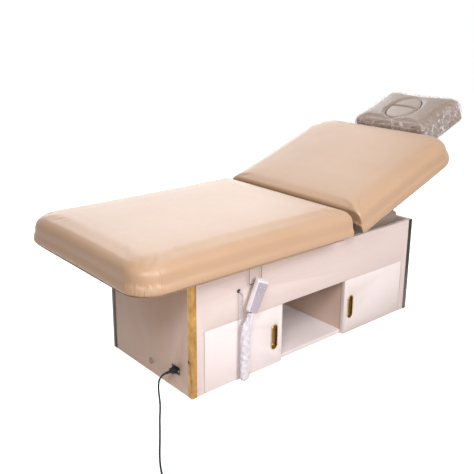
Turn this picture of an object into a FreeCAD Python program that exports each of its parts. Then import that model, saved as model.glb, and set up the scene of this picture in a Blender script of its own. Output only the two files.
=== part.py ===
import FreeCAD, Part
import Sketcher
import math
import os
import re
from FreeCAD import Placement, Rotation, Vector

# Spa bed on a cabinet base. Millimetres, +Z up. X runs along the bed from the foot end to the
# head end, the side with the doors faces -Y, and the origin is on the floor at the cabinet's centre.

SIZES = [
    # cabinet
    ("cabinet_length", 1300, "cabinet over its end panels"),
    ("cabinet_depth", 555, "cabinet over its front and rear panels"),
    ("cabinet_top", 458, "top edge of the cabinet above the floor"),
    ("board", 18, "laminated cabinet board"),
    ("glide_height", 4, "floor glide under the boards"),
    ("glide_radius", 16, "floor glide"),
    ("glide_inset", 40, "glide centre from the cabinet's faces"),
    ("apron_bottom", 262, "lower edge of the apron over the doors"),
    ("stile_width", 57, "front stile outside each door, with its end panel"),
    ("door_gap", 3, "gap beside a door"),
    ("door_top_gap", 1.2, "gap over a door"),
    ("door_floor_gap", 2, "door above the boards' lower edge"),
    ("opening_width", 382, "clear width between the two doors"),
    ("reveal", 2, "divider set back behind the door's edge"),
    ("carcass_gap", 2, "gap between a closed door and the boards behind it"),
    ("compartment_end", 21.5, "gap between the open compartment's back board and the rear panel"),
    ("cupboard_depth", 15.5, "gap between a cupboard's back board and the columns' foot plates"),
    ("cupboard_side", 29, "gap between a cupboard's outer side and the cabinet's end board"),
    ("ceiling_gap", 2, "ceiling board above the apron's lower edge"),
    # trims, cap, grommet
    ("trim_leg", 24, "corner trim leg"),
    ("trim_wall", 1.2, "corner trim sheet"),
    ("cap_radius", 12.5, "hole cap"),
    ("cap_height", 2.4, "hole cap above the board"),
    ("cap_stem_radius", 9, "hole cap stem"),
    ("cap_y", -6, "hole cap across the foot end"),
    ("cap_z", 52, "hole cap above the floor"),
    ("grommet_x", -426, "handset cord hole along the front"),
    ("grommet_z", 381, "handset cord hole above the floor"),
    ("grommet_radius", 8, "handset cord grommet flange"),
    ("grommet_body_radius", 6, "handset cord grommet in the board"),
    ("grommet_flange", 1.5, "grommet flange thickness"),
    # door pulls and hinges
    ("pull_x_inset", 42, "pull centre from the door's free edge"),
    ("pull_z", 128, "pull centre above the floor"),
    ("pull_length", 112, "flush pull over its rim"),
    ("pull_width", 38, "flush pull over its rim"),
    ("pull_rim", 4, "flush pull rim"),
    ("pull_proud", 1.6, "flush pull rim above the door"),
    ("pull_cup", 11, "flush pull depth in the door"),
    ("pull_wall", 1.2, "flush pull sheet"),
    ("cup_radius", 17.5, "hinge cup"),
    ("cup_depth", 11, "hinge cup in the door"),
    ("cup_edge", 22, "hinge cup centre from the door's hinged edge"),
    ("cup_end", 60, "hinge cup centre from the door's top and bottom"),
    ("arm_width", 14, "hinge arm"),
    ("arm_reach", 34, "hinge arm behind the door"),
    ("arm_wall", 6, "hinge arm thickness"),
    ("plate_width", 44, "hinge plate up the cupboard side"),
    ("plate_depth", 38, "hinge plate into the cupboard"),
    ("plate_wall", 4, "hinge plate thickness"),
    ("plate_gap", 0.3, "hinge plate beside the arm"),
    # mains inlet and cord
    ("inlet_y", -176, "mains inlet across the foot end"),
    ("inlet_z", 87, "mains inlet above the floor"),
    ("inlet_width", 48, "mains inlet flange"),
    ("inlet_height", 32, "mains inlet flange"),
    ("inlet_flange", 2.5, "mains inlet flange thickness"),
    ("inlet_body_width", 28, "mains inlet body"),
    ("inlet_body_height", 21, "mains inlet body"),
    ("inlet_body_depth", 26, "mains inlet body behind the flange"),
    ("socket_width", 24.4, "mains inlet recess"),
    ("socket_height", 16.4, "mains inlet recess"),
    ("socket_depth", 16, "mains inlet recess"),
    ("socket_gap", 0.2, "connector nose inside the recess"),
    ("connector_width", 28, "connector body"),
    ("connector_height", 20, "connector body"),
    ("connector_length", 22, "connector body outside the flange"),
    ("relief_length", 14, "connector strain relief"),
    ("relief_radius", 6, "strain relief at the connector"),
    ("relief_end_radius", 4.2, "strain relief at the cord"),
    ("cord_diameter", 7, "power cord"),
    ("coil_inner", 28, "innermost turn's radius in the put-away coil"),
    ("coil_turns", 2.25, "turns in each layer of the put-away coil"),
    ("coil_pitch", 7.7, "turn to turn in the put-away coil"),
    ("coil_x", -1052, "coil centre"),
    ("coil_y", -597, "coil centre"),
    ("plug_lead", 28, "straight cord between the coil and its plug"),
    ("plug_length", 38, "mains plug body"),
    ("plug_width", 34, "mains plug body"),
    ("coil_heading", -114.8, "direction in which the cord runs into its coil"),
    ("prong_length", 18, "plug pins"),
    ("prong_radius", 2.4, "plug pins"),
    ("prong_spacing", 19, "plug pins apart"),
    # lifting columns
    ("column_x", 400, "lifting column from the middle"),
    ("column_width", 110, "outer column along the bed"),
    ("column_depth", 80, "outer column across the bed"),
    ("column_wall", 3, "column wall"),
    ("column_slip", 4, "gap between the two column tubes"),
    ("column_high", 400, "top of the outer column above the floor"),
    ("foot_plate_margin", 20, "column foot plate round the column"),
    ("foot_plate", 8, "column foot and head plates"),
    ("inner_low", 82, "bottom of the inner column at rest"),
    ("collar_depth", 18, "glide collar in the outer column"),
    ("collar_lip", 3, "glide collar lip on the outer column"),
    ("slide_fit", 0.05, "running fit of a sliding piece"),
    ("guide_height", 20, "guide block on the inner column"),
    ("motor_height", 26, "lift motor housing"),
    ("motor_margin", 1, "lift motor housing inside the column"),
    ("actuator_radius", 19, "lift actuator tube"),
    ("rod_radius", 10, "lift actuator rod"),
    ("actuator_top", 300, "lift actuator tube's top above the floor"),
    ("rod_low", 84, "lift rod's lower end at rest"),
    ("bolt_radius", 4, "column foot bolt"),
    ("bolt_head_radius", 6.5, "column foot bolt head"),
    ("bolt_head", 5.3, "column foot bolt head height"),
    ("bolt_inset", 10, "column foot bolt from the plate's edges"),
    # control box
    ("control_length", 190, "control box"),
    ("control_width", 110, "control box"),
    ("control_height", 48, "control box"),
    ("control_x", -90, "control box centre"),
    # bed frame
    ("bed_bottom", 514, "underside of the bed boards above the floor"),
    ("rail_height", 30, "frame tube height"),
    ("rail_width", 40, "frame rail width"),
    ("skirt_half", 19.5, "gap between the skirt and the front and rear panels"),
    ("skirt_board", 12, "skirt board"),
    ("skirt_end", 577, "head end of the skirt from the middle"),
    ("skirt_low", 285, "lower edge of the skirt at rest"),
    ("skirt_top", 508, "upper edge of the long skirt boards"),
    ("skirt_corner", 26, "rounded top corners of the long skirt boards"),
    ("skirt_end_drop", 28, "end skirt boards below the long ones"),
    ("cross_width", 40, "cross member width"),
    ("cross_mid_x", 190, "cross member that carries the back actuator"),
    ("cross_foot_x", -545, "cross member at the foot end"),
    # leg cushion and its board
    ("leg_foot", -946, "foot edge of the leg cushion"),
    ("leg_head", 95, "head edge of the leg cushion"),
    ("bed_half", 419, "half the bed's width"),
    ("bed_shift", 17, "bed top further back than the cabinet's middle"),
    ("pad_thickness", 122, "cushion with its board"),
    ("pad_edge", 52, "rounded upper edge of a cushion"),
    ("pad_gap_edge", 18, "rounded upper edge of the leg cushion at the gap"),
    ("back_gap_edge", 14, "rounded upper edge of the back cushion at the gap"),
    ("pad_crown", 8, "crown of a cushion"),
    ("pad_draw", 5, "cushion sides drawn in between their corners"),
    ("gap_draw", 1, "cushion ends drawn in where two cushions meet"),
    ("pad_tuck", 5, "cushion tucked under at its lower edge"),
    ("pad_tuck_height", 14, "height of the tuck"),
    ("foot_corner", 108, "foot corners of the leg cushion in plan"),
    ("gap_corner", 16, "corners where two cushions meet, in plan"),
    ("bed_board", 16, "plywood board in a cushion"),
    ("board_inset", 14, "plywood board inside the cushion's outline"),
    # backrest
    ("hinge_x", 150, "back hinge axis"),
    ("hinge_z", 502, "back hinge axis above the floor"),
    ("back_angle", 20, "back raised above level, as photographed"),
    ("back_start", -2, "gap end of the back cushion from the hinge"),
    ("back_length", 715, "back cushion"),
    ("back_corner", 131, "head corners of the back cushion in plan"),
    ("back_lift", 13, "underside of the back board above the hinge axis"),
    ("back_tube", 26, "back frame tube"),
    ("back_tube_y", 38, "back frame tube centre inside the bed rail"),
    ("hinge_pin_radius", 6, "back hinge pin"),
    ("hinge_plate", 8, "back hinge bracket"),
    ("hinge_plate_half", 17, "back hinge bracket half width"),
    ("hinge_shoulder_radius", 10, "back hinge pin between the tube and its bracket"),
    ("hinge_spacer_gap", 0.3, "side play of the back hinge"),
    ("pin_fit", 0.05, "running fit of a pin"),
    # back actuator
    ("back_actuator_x", 190, "lower pivot of the back actuator"),
    ("back_actuator_z", 335, "lower pivot of the back actuator above the floor"),
    ("back_actuator_y", 50, "back actuator inside the back frame tube's centre"),
    ("lug_along", 200, "upper pivot from the back hinge"),
    ("lug_drop", 32, "upper pivot below the back hinge's level"),
    ("lug_pin_radius", 4.5, "upper pivot pin"),
    ("lug_slack", 3.8, "radial slack at the open upper pivot"),
    ("lug_wall", 5, "lug plate"),
    ("lug_half", 16, "lug plate half width"),
    ("lug_gap", 0.5, "lug plate beside the rod eye"),
    ("eye_radius", 14, "rod eye"),
    ("eye_width", 16, "rod eye"),
    ("stroke_tube_radius", 17, "back actuator tube"),
    ("stroke_rod_radius", 8, "back actuator rod"),
    ("stroke_tube_length", 170, "back actuator tube from its pivot"),
    ("stroke_rod_inside", 85, "rod inside its tube at rest"),
    ("gear_half", 20, "back actuator gear housing round its pivot"),
    ("gear_width", 40, "back actuator gear housing width"),
    ("back_motor_radius", 18, "back actuator motor"),
    ("back_motor_length", 66, "back actuator motor"),
    ("back_motor_beside", 40, "motor axis beside the actuator's tube"),
    ("pivot_radius", 5, "lower pivot pin"),
    ("hanger_wall", 6, "actuator hanger plate"),
    ("hanger_half", 18, "actuator hanger plate half width"),
    ("hanger_gap", 0.5, "actuator hanger plate beside the gear housing"),
    ("hanger_tail", 12, "actuator hanger plate below its pin"),
    # headrest
    ("socket_y", 100, "headrest tube from the middle"),
    ("socket_tube_radius", 13, "headrest tube"),
    ("prong_rod_radius", 9, "headrest prong"),
    ("socket_start", 456, "headrest tube from the back hinge"),
    ("socket_length", 240, "headrest tube"),
    ("socket_drop", 1, "headrest tube below the back board"),
    ("prong_inside", 150, "headrest prong in its tube at rest"),
    ("head_gap", 15, "gap between the back cushion and the headrest"),
    ("head_length", 336, "headrest"),
    ("head_half", 221, "half the headrest's width"),
    ("head_thickness", 125, "headrest with its board"),
    ("head_edge", 34, "rounded upper edge of the headrest"),
    ("head_near_edge", 14, "rounded upper edge of the headrest beside the back cushion"),
    ("head_corner", 46, "far corners of the headrest in plan"),
    ("head_near_corner", 26, "near corners of the headrest in plan"),
    ("head_board", 14, "headrest board"),
    ("back_side_tube", 60, "first cross tube of the back frame from the hinge"),
    ("tilt_along", 26, "tilt axis from the headrest's near edge"),
    ("tilt_drop", 11, "tilt axis below the headrest board"),
    ("tilt_pin_radius", 4, "tilt pin"),
    ("tilt_plate", 6, "tilt plates"),
    ("tilt_plate_y", 70, "tilt plates from the middle"),
    ("tilt_plate_half", 7, "tilt plates half width"),
    ("tilt_gap", 0.3, "side play of the tilt plates"),
    ("tilt_foot", 46, "tilt plate along the headrest board"),
    ("bar_width", 20, "headrest crossbar"),
    ("bar_height", 18, "headrest crossbar"),
    ("bar_gap", 1, "crossbar below the tilt plates"),
    ("tilt_lug", 6, "lugs beside the tilt plates"),
    ("tilt_lug_half", 6, "lugs round the tilt pin"),
    ("hole_long", 105, "half length of the face hole"),
    ("hole_wide", 78, "half width of the face hole"),
    ("hole_along", 146, "face hole centre from the headrest's near edge"),
    ("plug_gap", 0.5, "gap round the face plug"),
    ("plug_sink", 4, "face plug's top below the headrest's crown"),
    ("plug_depth", 60, "face plug"),
    ("plug_slit", 5, "cross slit in the face plug"),
    ("plug_slit_depth", 26, "cross slit in the face plug"),
    ("plug_slit_along", 14, "cross slit from the hole's centre"),
    # handset
    ("handset_x", -330, "top of the hanging handset"),
    ("handset_y", 30.5, "handset's middle plane in front of the cabinet"),
    ("handset_z", 417, "top of the hanging handset above the floor"),
    ("handset_lean", 25, "lean of the hanging handset"),
    ("handset_length", 136, "handset"),
    ("handset_width", 56, "handset"),
    ("handset_depth", 24, "handset"),
    ("handset_taper", 10, "handset narrower at its lower end"),
    ("handset_corner", 7, "handset's rounded corners"),
    ("button_width", 13, "handset button"),
    ("button_height", 11, "handset button"),
    ("button_proud", 1.5, "button above the handset"),
    ("button_sunk", 3, "button inside the handset"),
    ("button_travel", 0.8, "button stroke"),
    ("button_fit", 0.1, "gap round a button"),
    ("button_first", 34, "first button row from the handset's top"),
    ("button_pitch", 26, "button rows apart"),
    ("button_side", 10.5, "button column from the middle"),
    ("hook_drop", 17.5, "hook's seat from the handset's top"),
    ("hook_width", 6, "handset hook"),
    ("hook_wall", 3, "handset hook"),
    ("hook_length", 12, "hook behind the hanger bar"),
    ("hook_play", 0.4, "hook leg behind the hanger bar"),
    ("hanger_y", 12.5, "hanger wire's plane in front of the cabinet"),
    ("hanger_radius", 1.5, "hanger wire"),
    ("hanger_left", -384, "hanger wire's left leg"),
    ("hanger_right", -322, "hanger wire's right leg"),
    ("hanger_bar_z", 398, "hanger bar above the floor"),
    ("hanger_bend", 5, "hanger wire's bends"),
    ("hanger_foot_radius", 7, "hanger wire's foot plates"),
    ("hanger_foot", 1.5, "hanger wire's foot plates"),
    # handset cord
    ("curl_wire", 3.2, "handset cord itself"),
    ("curl_radius", 4.5, "radius of the curls"),
    ("curl_pitch", 8.6, "curl to curl"),
    ("curl_turn_radius", 13.5, "bend at the foot of the hanging loop"),
    ("curl_low", 30, "start of the bend above the floor"),
    ("curl_exit_radius", 13, "bend where the cord leaves the cabinet"),
    ("curl_exit_lead", 5, "straight lead where the cord leaves the cabinet"),
    ("curl_top_radius", 60, "bend under the handset"),
    ("curl_end", 3.6, "plain cord at each end"),
]

NAMES = {name for name, _, _ in SIZES}
HALF_TURN = 180
QUARTER_TURN = 90

doc = FreeCAD.newDocument("spa_bed")
sheet = doc.addObject("Spreadsheet::Sheet", "sizes")
for row, (name, number, note) in enumerate(SIZES, start=1):
    sheet.set(f"A{row}", note)
    sheet.set(f"B{row}", str(number))
    sheet.setAlias(f"B{row}", name)
doc.recompute()

parts = {}


def cells(text):
    """Point the size names in an expression at the sheet."""
    return re.sub(r"[a-z][a-z_]*", lambda m: "sizes." + m.group() if m.group() in NAMES else m.group(), str(text))


def value(text):
    """The number that an expression of size names gives."""
    return float(sheet.evalExpression(cells(text)))


def keep(name, obj):
    """Name a finished piece."""
    obj.Label = name
    parts[name] = obj
    return obj


def bind(obj, prop, text):
    obj.setExpression(prop, cells(text))


def block(name, x, y, z):
    """A box between pairs of low and high places."""
    box = doc.addObject("Part::Box", name)
    for prop, axis, (low, high) in zip(("Length", "Width", "Height"), "xyz", (x, y, z)):
        bind(box, prop, f"({high}) - ({low})")
        bind(box, f"Placement.Base.{axis}", low)
    return box


AXIS_TURNS = {
    "x": Rotation(Vector(0, 1, 0), QUARTER_TURN),
    "y": Rotation(Vector(1, 0, 0), -QUARTER_TURN),
    "z": Rotation(),
}


def rod(name, axis, radius, start, length):
    """A cylinder along an axis, from its start point."""
    cylinder = doc.addObject("Part::Cylinder", name)
    bind(cylinder, "Radius", radius)
    bind(cylinder, "Height", length)
    cylinder.Placement = Placement(Vector(), AXIS_TURNS[axis])
    for letter, place in zip("xyz", start):
        bind(cylinder, f"Placement.Base.{letter}", place)
    return cylinder


def fuse(name, shapes):
    union = doc.addObject("Part::MultiFuse", name)
    union.Shapes = shapes
    return union


def cut(name, base, tools):
    tool = tools[0] if len(tools) == 1 else fuse(name + "_tools", tools)
    difference = doc.addObject("Part::Cut", name)
    difference.Base = base
    difference.Tool = tool
    return difference


def group(name, shapes):
    """Separate solids under one name."""
    compound = doc.addObject("Part::Compound", name)
    compound.Links = shapes
    return compound


def form(name, shape):
    """A piece whose shape is worked out from the sheet in this file."""
    feature = doc.addObject("Part::Feature", name)
    feature.Shape = shape
    return feature


def lean(name, shapes, axis, angle, base):
    """Turn pieces drawn in a frame of their own about its origin, and set that frame in its place."""
    leaned = group(name, shapes)
    leaned.Placement = Placement(Vector(), Rotation(axis, 1))
    bind(leaned, "Placement.Rotation.Angle", angle)
    for letter, place in zip("xyz", base):
        bind(leaned, f"Placement.Base.{letter}", place)
    return leaned


def raise_back(name, shapes):
    """Set pieces drawn level from the hinge axis at the photographed angle of the back."""
    return lean(name, shapes, Vector(0, -1, 0), "back_angle", ("hinge_x", "0", "hinge_z"))


def plate(name, role, loops, thickness, base, toward_plus=True):
    """A flat body: a sketch of closed straight loops on an origin plane, padded to its thickness.

    loops holds lists of (across, up) expressions; base is where the plane stands along its normal.
    """
    body = doc.addObject("PartDesign::Body", name)
    plane = [p for p in body.Origin.OriginFeatures if p.Role == role][0]
    sketch = body.newObject("Sketcher::SketchObject", name + "_outline")
    sketch.AttachmentSupport = [(plane, "")]
    sketch.MapMode = "FlatFace"
    for loop in loops:
        first = sketch.GeometryCount
        corners = [Vector(value(across), value(up), 0) for across, up in loop]
        for start, end in zip(corners, corners[1:] + corners[:1]):
            sketch.addGeometry(Part.LineSegment(start, end), False)
        count = len(loop)
        for index in range(count):
            sketch.addConstraint(Sketcher.Constraint("Coincident", first + index, 2, first + (index + 1) % count, 1))
        for index, (across, up) in enumerate(loop):
            for kind, text, number in (("DistanceX", across, corners[index].x),
                                       ("DistanceY", up, corners[index].y)):
                place = sketch.addConstraint(Sketcher.Constraint(kind, -1, 1, first + index, 1, number))
                sketch.setExpression(f"Constraints[{place}]", cells(text))
    pad = body.newObject("PartDesign::Pad", name + "_pad")
    pad.Profile = sketch
    bind(pad, "Length", thickness)
    pad.Reversed = (role == "XZ_Plane") == toward_plus
    sketch.Visibility = False
    letter = {"XY_Plane": "z", "XZ_Plane": "y", "YZ_Plane": "x"}[role]
    bind(body, f"Placement.Base.{letter}", base)
    return body


def round_edges(body, tag, radius, axis, wanted):
    """Round those edges of a body that run along an axis and whose middles are wanted."""
    doc.recompute()
    chosen = []
    for index, edge in enumerate(body.Shape.Edges, start=1):
        heading = edge.tangentAt(edge.FirstParameter)
        if len(edge.Vertexes) == 2 and abs(abs(getattr(heading, axis)) - 1) < 1e-6 and wanted(edge.CenterOfMass):
            chosen.append(f"Edge{index}")
    before = body.Tip
    rounding = body.newObject("PartDesign::Fillet", f"{body.Name}_{tag}")
    rounding.Base = (before, chosen)
    bind(rounding, "Radius", radius)
    body.Tip = rounding
    doc.recompute()


def rectangle(left, right, low, high):
    return [(left, low), (right, low), (right, high), (left, high)]


# Cabinet boards. The front board is an upside-down U: an apron with a stile at each end.
HALF_LENGTH = "cabinet_length / 2"
HALF_DEPTH = "cabinet_depth / 2"
FRONT = "-cabinet_depth / 2"
INSIDE_END = "(cabinet_length / 2 - board)"
INSIDE_FRONT = "(board - cabinet_depth / 2)"
INSIDE_REAR = "(cabinet_depth / 2 - board)"
DOOR_OUTER = "(cabinet_length / 2 - stile_width - door_gap)"
DOOR_INNER = "(opening_width / 2)"
DOOR_LOW = "(glide_height + door_floor_gap)"
DOOR_HIGH = "(apron_bottom - door_top_gap)"
CARCASS_FRONT = "(board - cabinet_depth / 2 + carcass_gap)"
FLOOR_TOP = "(glide_height + board)"
CEILING = "(apron_bottom + ceiling_gap)"
DIVIDER = "(opening_width / 2 + reveal)"
CUPBOARD_BACK = "(-column_depth / 2 - foot_plate_margin - cupboard_depth)"
CUPBOARD_SIDE = "(cabinet_length / 2 - 2 * board - cupboard_side)"

front_outline = [
    (f"-{INSIDE_END}", "glide_height"),
    ("stile_width - cabinet_length / 2", "glide_height"),
    ("stile_width - cabinet_length / 2", "apron_bottom"),
    ("cabinet_length / 2 - stile_width", "apron_bottom"),
    ("cabinet_length / 2 - stile_width", "glide_height"),
    (INSIDE_END, "glide_height"),
    (INSIDE_END, "cabinet_top"),
    (f"-{INSIDE_END}", "cabinet_top"),
]
front_board = plate("front_board", "XZ_Plane", [front_outline], "board", FRONT)
grommet_hole = rod("grommet_hole", "y", "grommet_body_radius", ("grommet_x", "-cabinet_depth", "grommet_z"),
                   "cabinet_depth")
keep("front_panel", cut("front_panel", front_board, [grommet_hole]))

rear_outline = rectangle(f"-{INSIDE_END}", INSIDE_END, "glide_height", "cabinet_top")
keep("rear_panel", plate("rear_panel", "XZ_Plane", [rear_outline], "board", INSIDE_REAR))

end_outline = rectangle(FRONT, HALF_DEPTH, "glide_height", "cabinet_top")
keep("head_end_panel", plate("head_end_panel", "YZ_Plane", [end_outline], "board", INSIDE_END))
foot_board = plate("foot_board", "YZ_Plane", [end_outline], "board", f"-{HALF_LENGTH}")
cap_hole = rod("cap_hole", "x", "cap_stem_radius", ("-cabinet_length", "cap_y", "cap_z"), "cabinet_length")
inlet_hole = block("inlet_hole", ("-cabinet_length", "0"),
                   ("inlet_y - inlet_body_width / 2", "inlet_y + inlet_body_width / 2"),
                   ("inlet_z - inlet_body_height / 2", "inlet_z + inlet_body_height / 2"))
keep("foot_end_panel", cut("foot_end_panel", foot_board, [cap_hole, inlet_hole]))

COMPARTMENT_END = "(cabinet_depth / 2 - 2 * board - compartment_end)"
DIVIDER_BACK = f"({COMPARTMENT_END} + board)"
dividers, cupboard_boards = [], []
for side, inner, outer in (("left", f"-({DIVIDER} + board)", f"-{CUPBOARD_SIDE}"),
                           ("right", f"({DIVIDER} + board)", CUPBOARD_SIDE)):
    low, high = (outer, inner) if side == "left" else (inner, outer)
    out_low, out_high = ((f"-{CUPBOARD_SIDE} - board", f"-{CUPBOARD_SIDE}") if side == "left"
                         else (CUPBOARD_SIDE, f"{CUPBOARD_SIDE} + board"))
    face_low, face_high = (inner, f"-{DIVIDER}") if side == "left" else (DIVIDER, inner)
    top_low, top_high = (out_low, inner) if side == "left" else (inner, out_high)
    dividers.append(block(f"divider_{side}", (face_low, face_high), (CARCASS_FRONT, DIVIDER_BACK),
                          (FLOOR_TOP, CEILING)))
    cupboard_boards += [
        block(f"cupboard_side_{side}", (out_low, out_high), (CARCASS_FRONT, CUPBOARD_BACK), (FLOOR_TOP, CEILING)),
        block(f"cupboard_back_{side}", (low, high), (f"{CUPBOARD_BACK} - board", CUPBOARD_BACK),
              (FLOOR_TOP, CEILING)),
        block(f"cupboard_top_{side}", (top_low, top_high), (CARCASS_FRONT, CUPBOARD_BACK),
              (CEILING, f"{CEILING} + board")),
    ]
keep("compartment_dividers", group("compartment_dividers", dividers))
keep("cupboard_boards", group("cupboard_boards", cupboard_boards))
keep("compartment_back", block("compartment_back", (f"-{DIVIDER}", DIVIDER), (COMPARTMENT_END, DIVIDER_BACK),
                               (FLOOR_TOP, CEILING)))
keep("compartment_top", block("compartment_top", (f"-({DIVIDER} + board)", f"{DIVIDER} + board"),
                              (CARCASS_FRONT, DIVIDER_BACK), (CEILING, f"{CEILING} + board")))

glides = [rod("glide_middle", "z", "glide_radius", ("0", "0", "0"), "glide_height")]
for column, along in enumerate(("glide_inset - cabinet_length / 2", "cabinet_length / 2 - glide_inset")):
    for line, across in enumerate((f"{CARCASS_FRONT} + glide_inset", "cabinet_depth / 2 - glide_inset")):
        glides.append(rod(f"glide_{column}_{line}", "z", "glide_radius", (along, across, "0"), "glide_height"))
keep("floor_glides", group("floor_glides", glides))

# Corner trims: one L of thin sheet outside each upright corner.
trims = []
for end in (-1, 1):
    for face in (-1, 1):
        tag = f"{'head' if end > 0 else 'foot'}_{'rear' if face > 0 else 'front'}"
        x_out, y_out = f"{end} * (cabinet_length / 2 + trim_wall)", f"{face} * (cabinet_depth / 2 + trim_wall)"
        x_face, y_face = f"{end} * cabinet_length / 2", f"{face} * cabinet_depth / 2"
        x_leg = f"{end} * (cabinet_length / 2 + trim_wall - trim_leg)"
        y_leg = f"{face} * (cabinet_depth / 2 + trim_wall - trim_leg)"
        outline = [(x_out, y_out), (x_leg, y_out), (x_leg, y_face), (x_face, y_face), (x_face, y_leg), (x_out, y_leg)]
        trims.append(plate(f"trim_{tag}", "XY_Plane", [outline], "cabinet_top - glide_height", "glide_height"))
keep("corner_trims", group("corner_trims", trims))

cap_disc = rod("cap_disc", "x", "cap_radius", (f"-({HALF_LENGTH} + cap_height)", "cap_y", "cap_z"), "cap_height")
cap_stem = rod("cap_stem", "x", "cap_stem_radius", (f"-{HALF_LENGTH}", "cap_y", "cap_z"), "board")
keep("hole_cap", fuse("hole_cap", [cap_disc, cap_stem]))

grommet_flange = rod("grommet_ring", "y", "grommet_radius", ("grommet_x", f"{FRONT} - grommet_flange", "grommet_z"),
                     "grommet_flange")
grommet_body = rod("grommet_body", "y", "grommet_body_radius", ("grommet_x", FRONT, "grommet_z"), "board")
keep("cord_grommet", fuse("cord_grommet", [grommet_flange, grommet_body]))


# Doors, flush in the front board, with their flush pulls and the moving half of their hinges.
def slot(name, middle, half_width, length, near, far):
    """An upright round-ended slot through the front, between two places along Y."""
    reach = f"({length}) / 2 - ({half_width})"
    body = block(name + "_body", (f"{middle} - ({half_width})", f"{middle} + {half_width}"), (near, far),
                 (f"pull_z - ({reach})", f"pull_z + {reach}"))
    ends = [rod(f"{name}_{tag}", "y", half_width, (middle, near, f"pull_z {sign} ({reach})"), f"({far}) - ({near})")
            for tag, sign in (("low", "-"), ("high", "+"))]
    return fuse(name, [body] + ends)


CUP_HALF = "(pull_width / 2 - pull_rim + pull_wall)"
CUP_LENGTH = "(pull_length - 2 * pull_rim + 2 * pull_wall)"
hinge_plates = []
for side, sign in (("left", "-"), ("right", "")):
    toward = 1 if side == "left" else -1
    outer_edge, free_edge = f"({sign}{DOOR_OUTER})", f"({sign}{DOOR_INNER})"
    edges = (outer_edge, free_edge) if side == "left" else (free_edge, outer_edge)
    door_blank = plate(f"door_blank_{side}", "XZ_Plane", [rectangle(*edges, DOOR_LOW, DOOR_HIGH)], "board", FRONT)
    pull_x = f"({free_edge} - {toward} * pull_x_inset)"
    pocket = slot(f"pull_pocket_{side}", pull_x, CUP_HALF, CUP_LENGTH, f"{FRONT} - board", f"{FRONT} + pull_cup")
    cup_x = f"({outer_edge} + {toward} * cup_edge)"
    arm_face = f"({sign}{CUPBOARD_SIDE} + {toward} * (plate_wall + plate_gap))"
    arm_far = f"({arm_face} + {toward} * arm_width)"
    arm_x = (arm_face, arm_far) if side == "left" else (arm_far, arm_face)
    cups, bores, arms = [], [], []
    for level, height in (("low", f"({DOOR_LOW} + cup_end)"), ("high", f"({DOOR_HIGH} - cup_end)")):
        tag = f"{side}_{level}"
        seat = (cup_x, f"{INSIDE_FRONT} - cup_depth", height)
        bores.append(rod(f"cup_bore_{tag}", "y", "cup_radius", seat, "cup_depth + board"))
        cup = rod(f"cup_{tag}", "y", "cup_radius", seat, "cup_depth")
        arm = block(f"arm_{tag}", arm_x, (f"{INSIDE_FRONT} - arm_wall", f"{INSIDE_FRONT} + arm_reach"),
                    (f"{height} - arm_width / 2", f"{height} + arm_width / 2"))
        arms.append(fuse(f"hinge_arm_{tag}", [cup, arm]))
        face = f"({sign}{CUPBOARD_SIDE})"
        inner = f"({face} + {toward} * plate_wall)"
        plate_x = (face, inner) if side == "left" else (inner, face)
        hinge_plates.append(block(f"hinge_plate_{tag}", plate_x,
                                  (f"{CARCASS_FRONT} + plate_wall", f"{CARCASS_FRONT} + plate_wall + plate_depth"),
                                  (f"{height} - plate_width / 2", f"{height} + plate_width / 2")))
    arm_group = keep(f"hinge_arms_{side}", group(f"hinge_arms_{side}", arms))
    arm_cutters = [block(f"arm_slot_{side}_{level}", arm_x, (f"{INSIDE_FRONT} - arm_wall", f"{INSIDE_FRONT} + board"),
                         (f"{height} - arm_width / 2", f"{height} + arm_width / 2"))
                   for level, height in (("low", f"({DOOR_LOW} + cup_end)"), ("high", f"({DOOR_HIGH} - cup_end)"))]
    keep(f"door_{side}", cut(f"door_{side}", door_blank, [pocket] + bores + arm_cutters))
    rim = slot(f"pull_rim_{side}", pull_x, "pull_width / 2", "pull_length", f"{FRONT} - pull_proud", FRONT)
    cup_wall = slot(f"pull_cup_{side}", pull_x, CUP_HALF, CUP_LENGTH, FRONT, f"{FRONT} + pull_cup")
    hollow = slot(f"pull_hollow_{side}", pull_x, "pull_width / 2 - pull_rim", "pull_length - 2 * pull_rim",
                  f"{FRONT} - board", f"{FRONT} + pull_cup - pull_wall")
    keep(f"pull_{side}", cut(f"pull_{side}", fuse(f"pull_blank_{side}", [rim, cup_wall]), [hollow]))
keep("hinge_plates", group("hinge_plates", hinge_plates))

# Mains inlet in the foot end, and the connector pushed into it.
def around(middle, half):
    return (f"{middle} - ({half})", f"{middle} + {half}")


OUTSIDE_FOOT = f"(-{HALF_LENGTH} - inlet_flange)"
inlet_flange = block("inlet_flange", (OUTSIDE_FOOT, f"-{HALF_LENGTH}"), around("inlet_y", "inlet_width / 2"),
                     around("inlet_z", "inlet_height / 2"))
inlet_body = block("inlet_body", (f"-{HALF_LENGTH}", f"inlet_body_depth - {HALF_LENGTH}"),
                   around("inlet_y", "inlet_body_width / 2"), around("inlet_z", "inlet_body_height / 2"))
inlet_recess = block("inlet_recess", (f"{OUTSIDE_FOOT} - board", f"{OUTSIDE_FOOT} + socket_depth"),
                     around("inlet_y", "socket_width / 2"), around("inlet_z", "socket_height / 2"))
keep("mains_inlet", cut("mains_inlet", fuse("inlet_blank", [inlet_flange, inlet_body]), [inlet_recess]))

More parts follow.
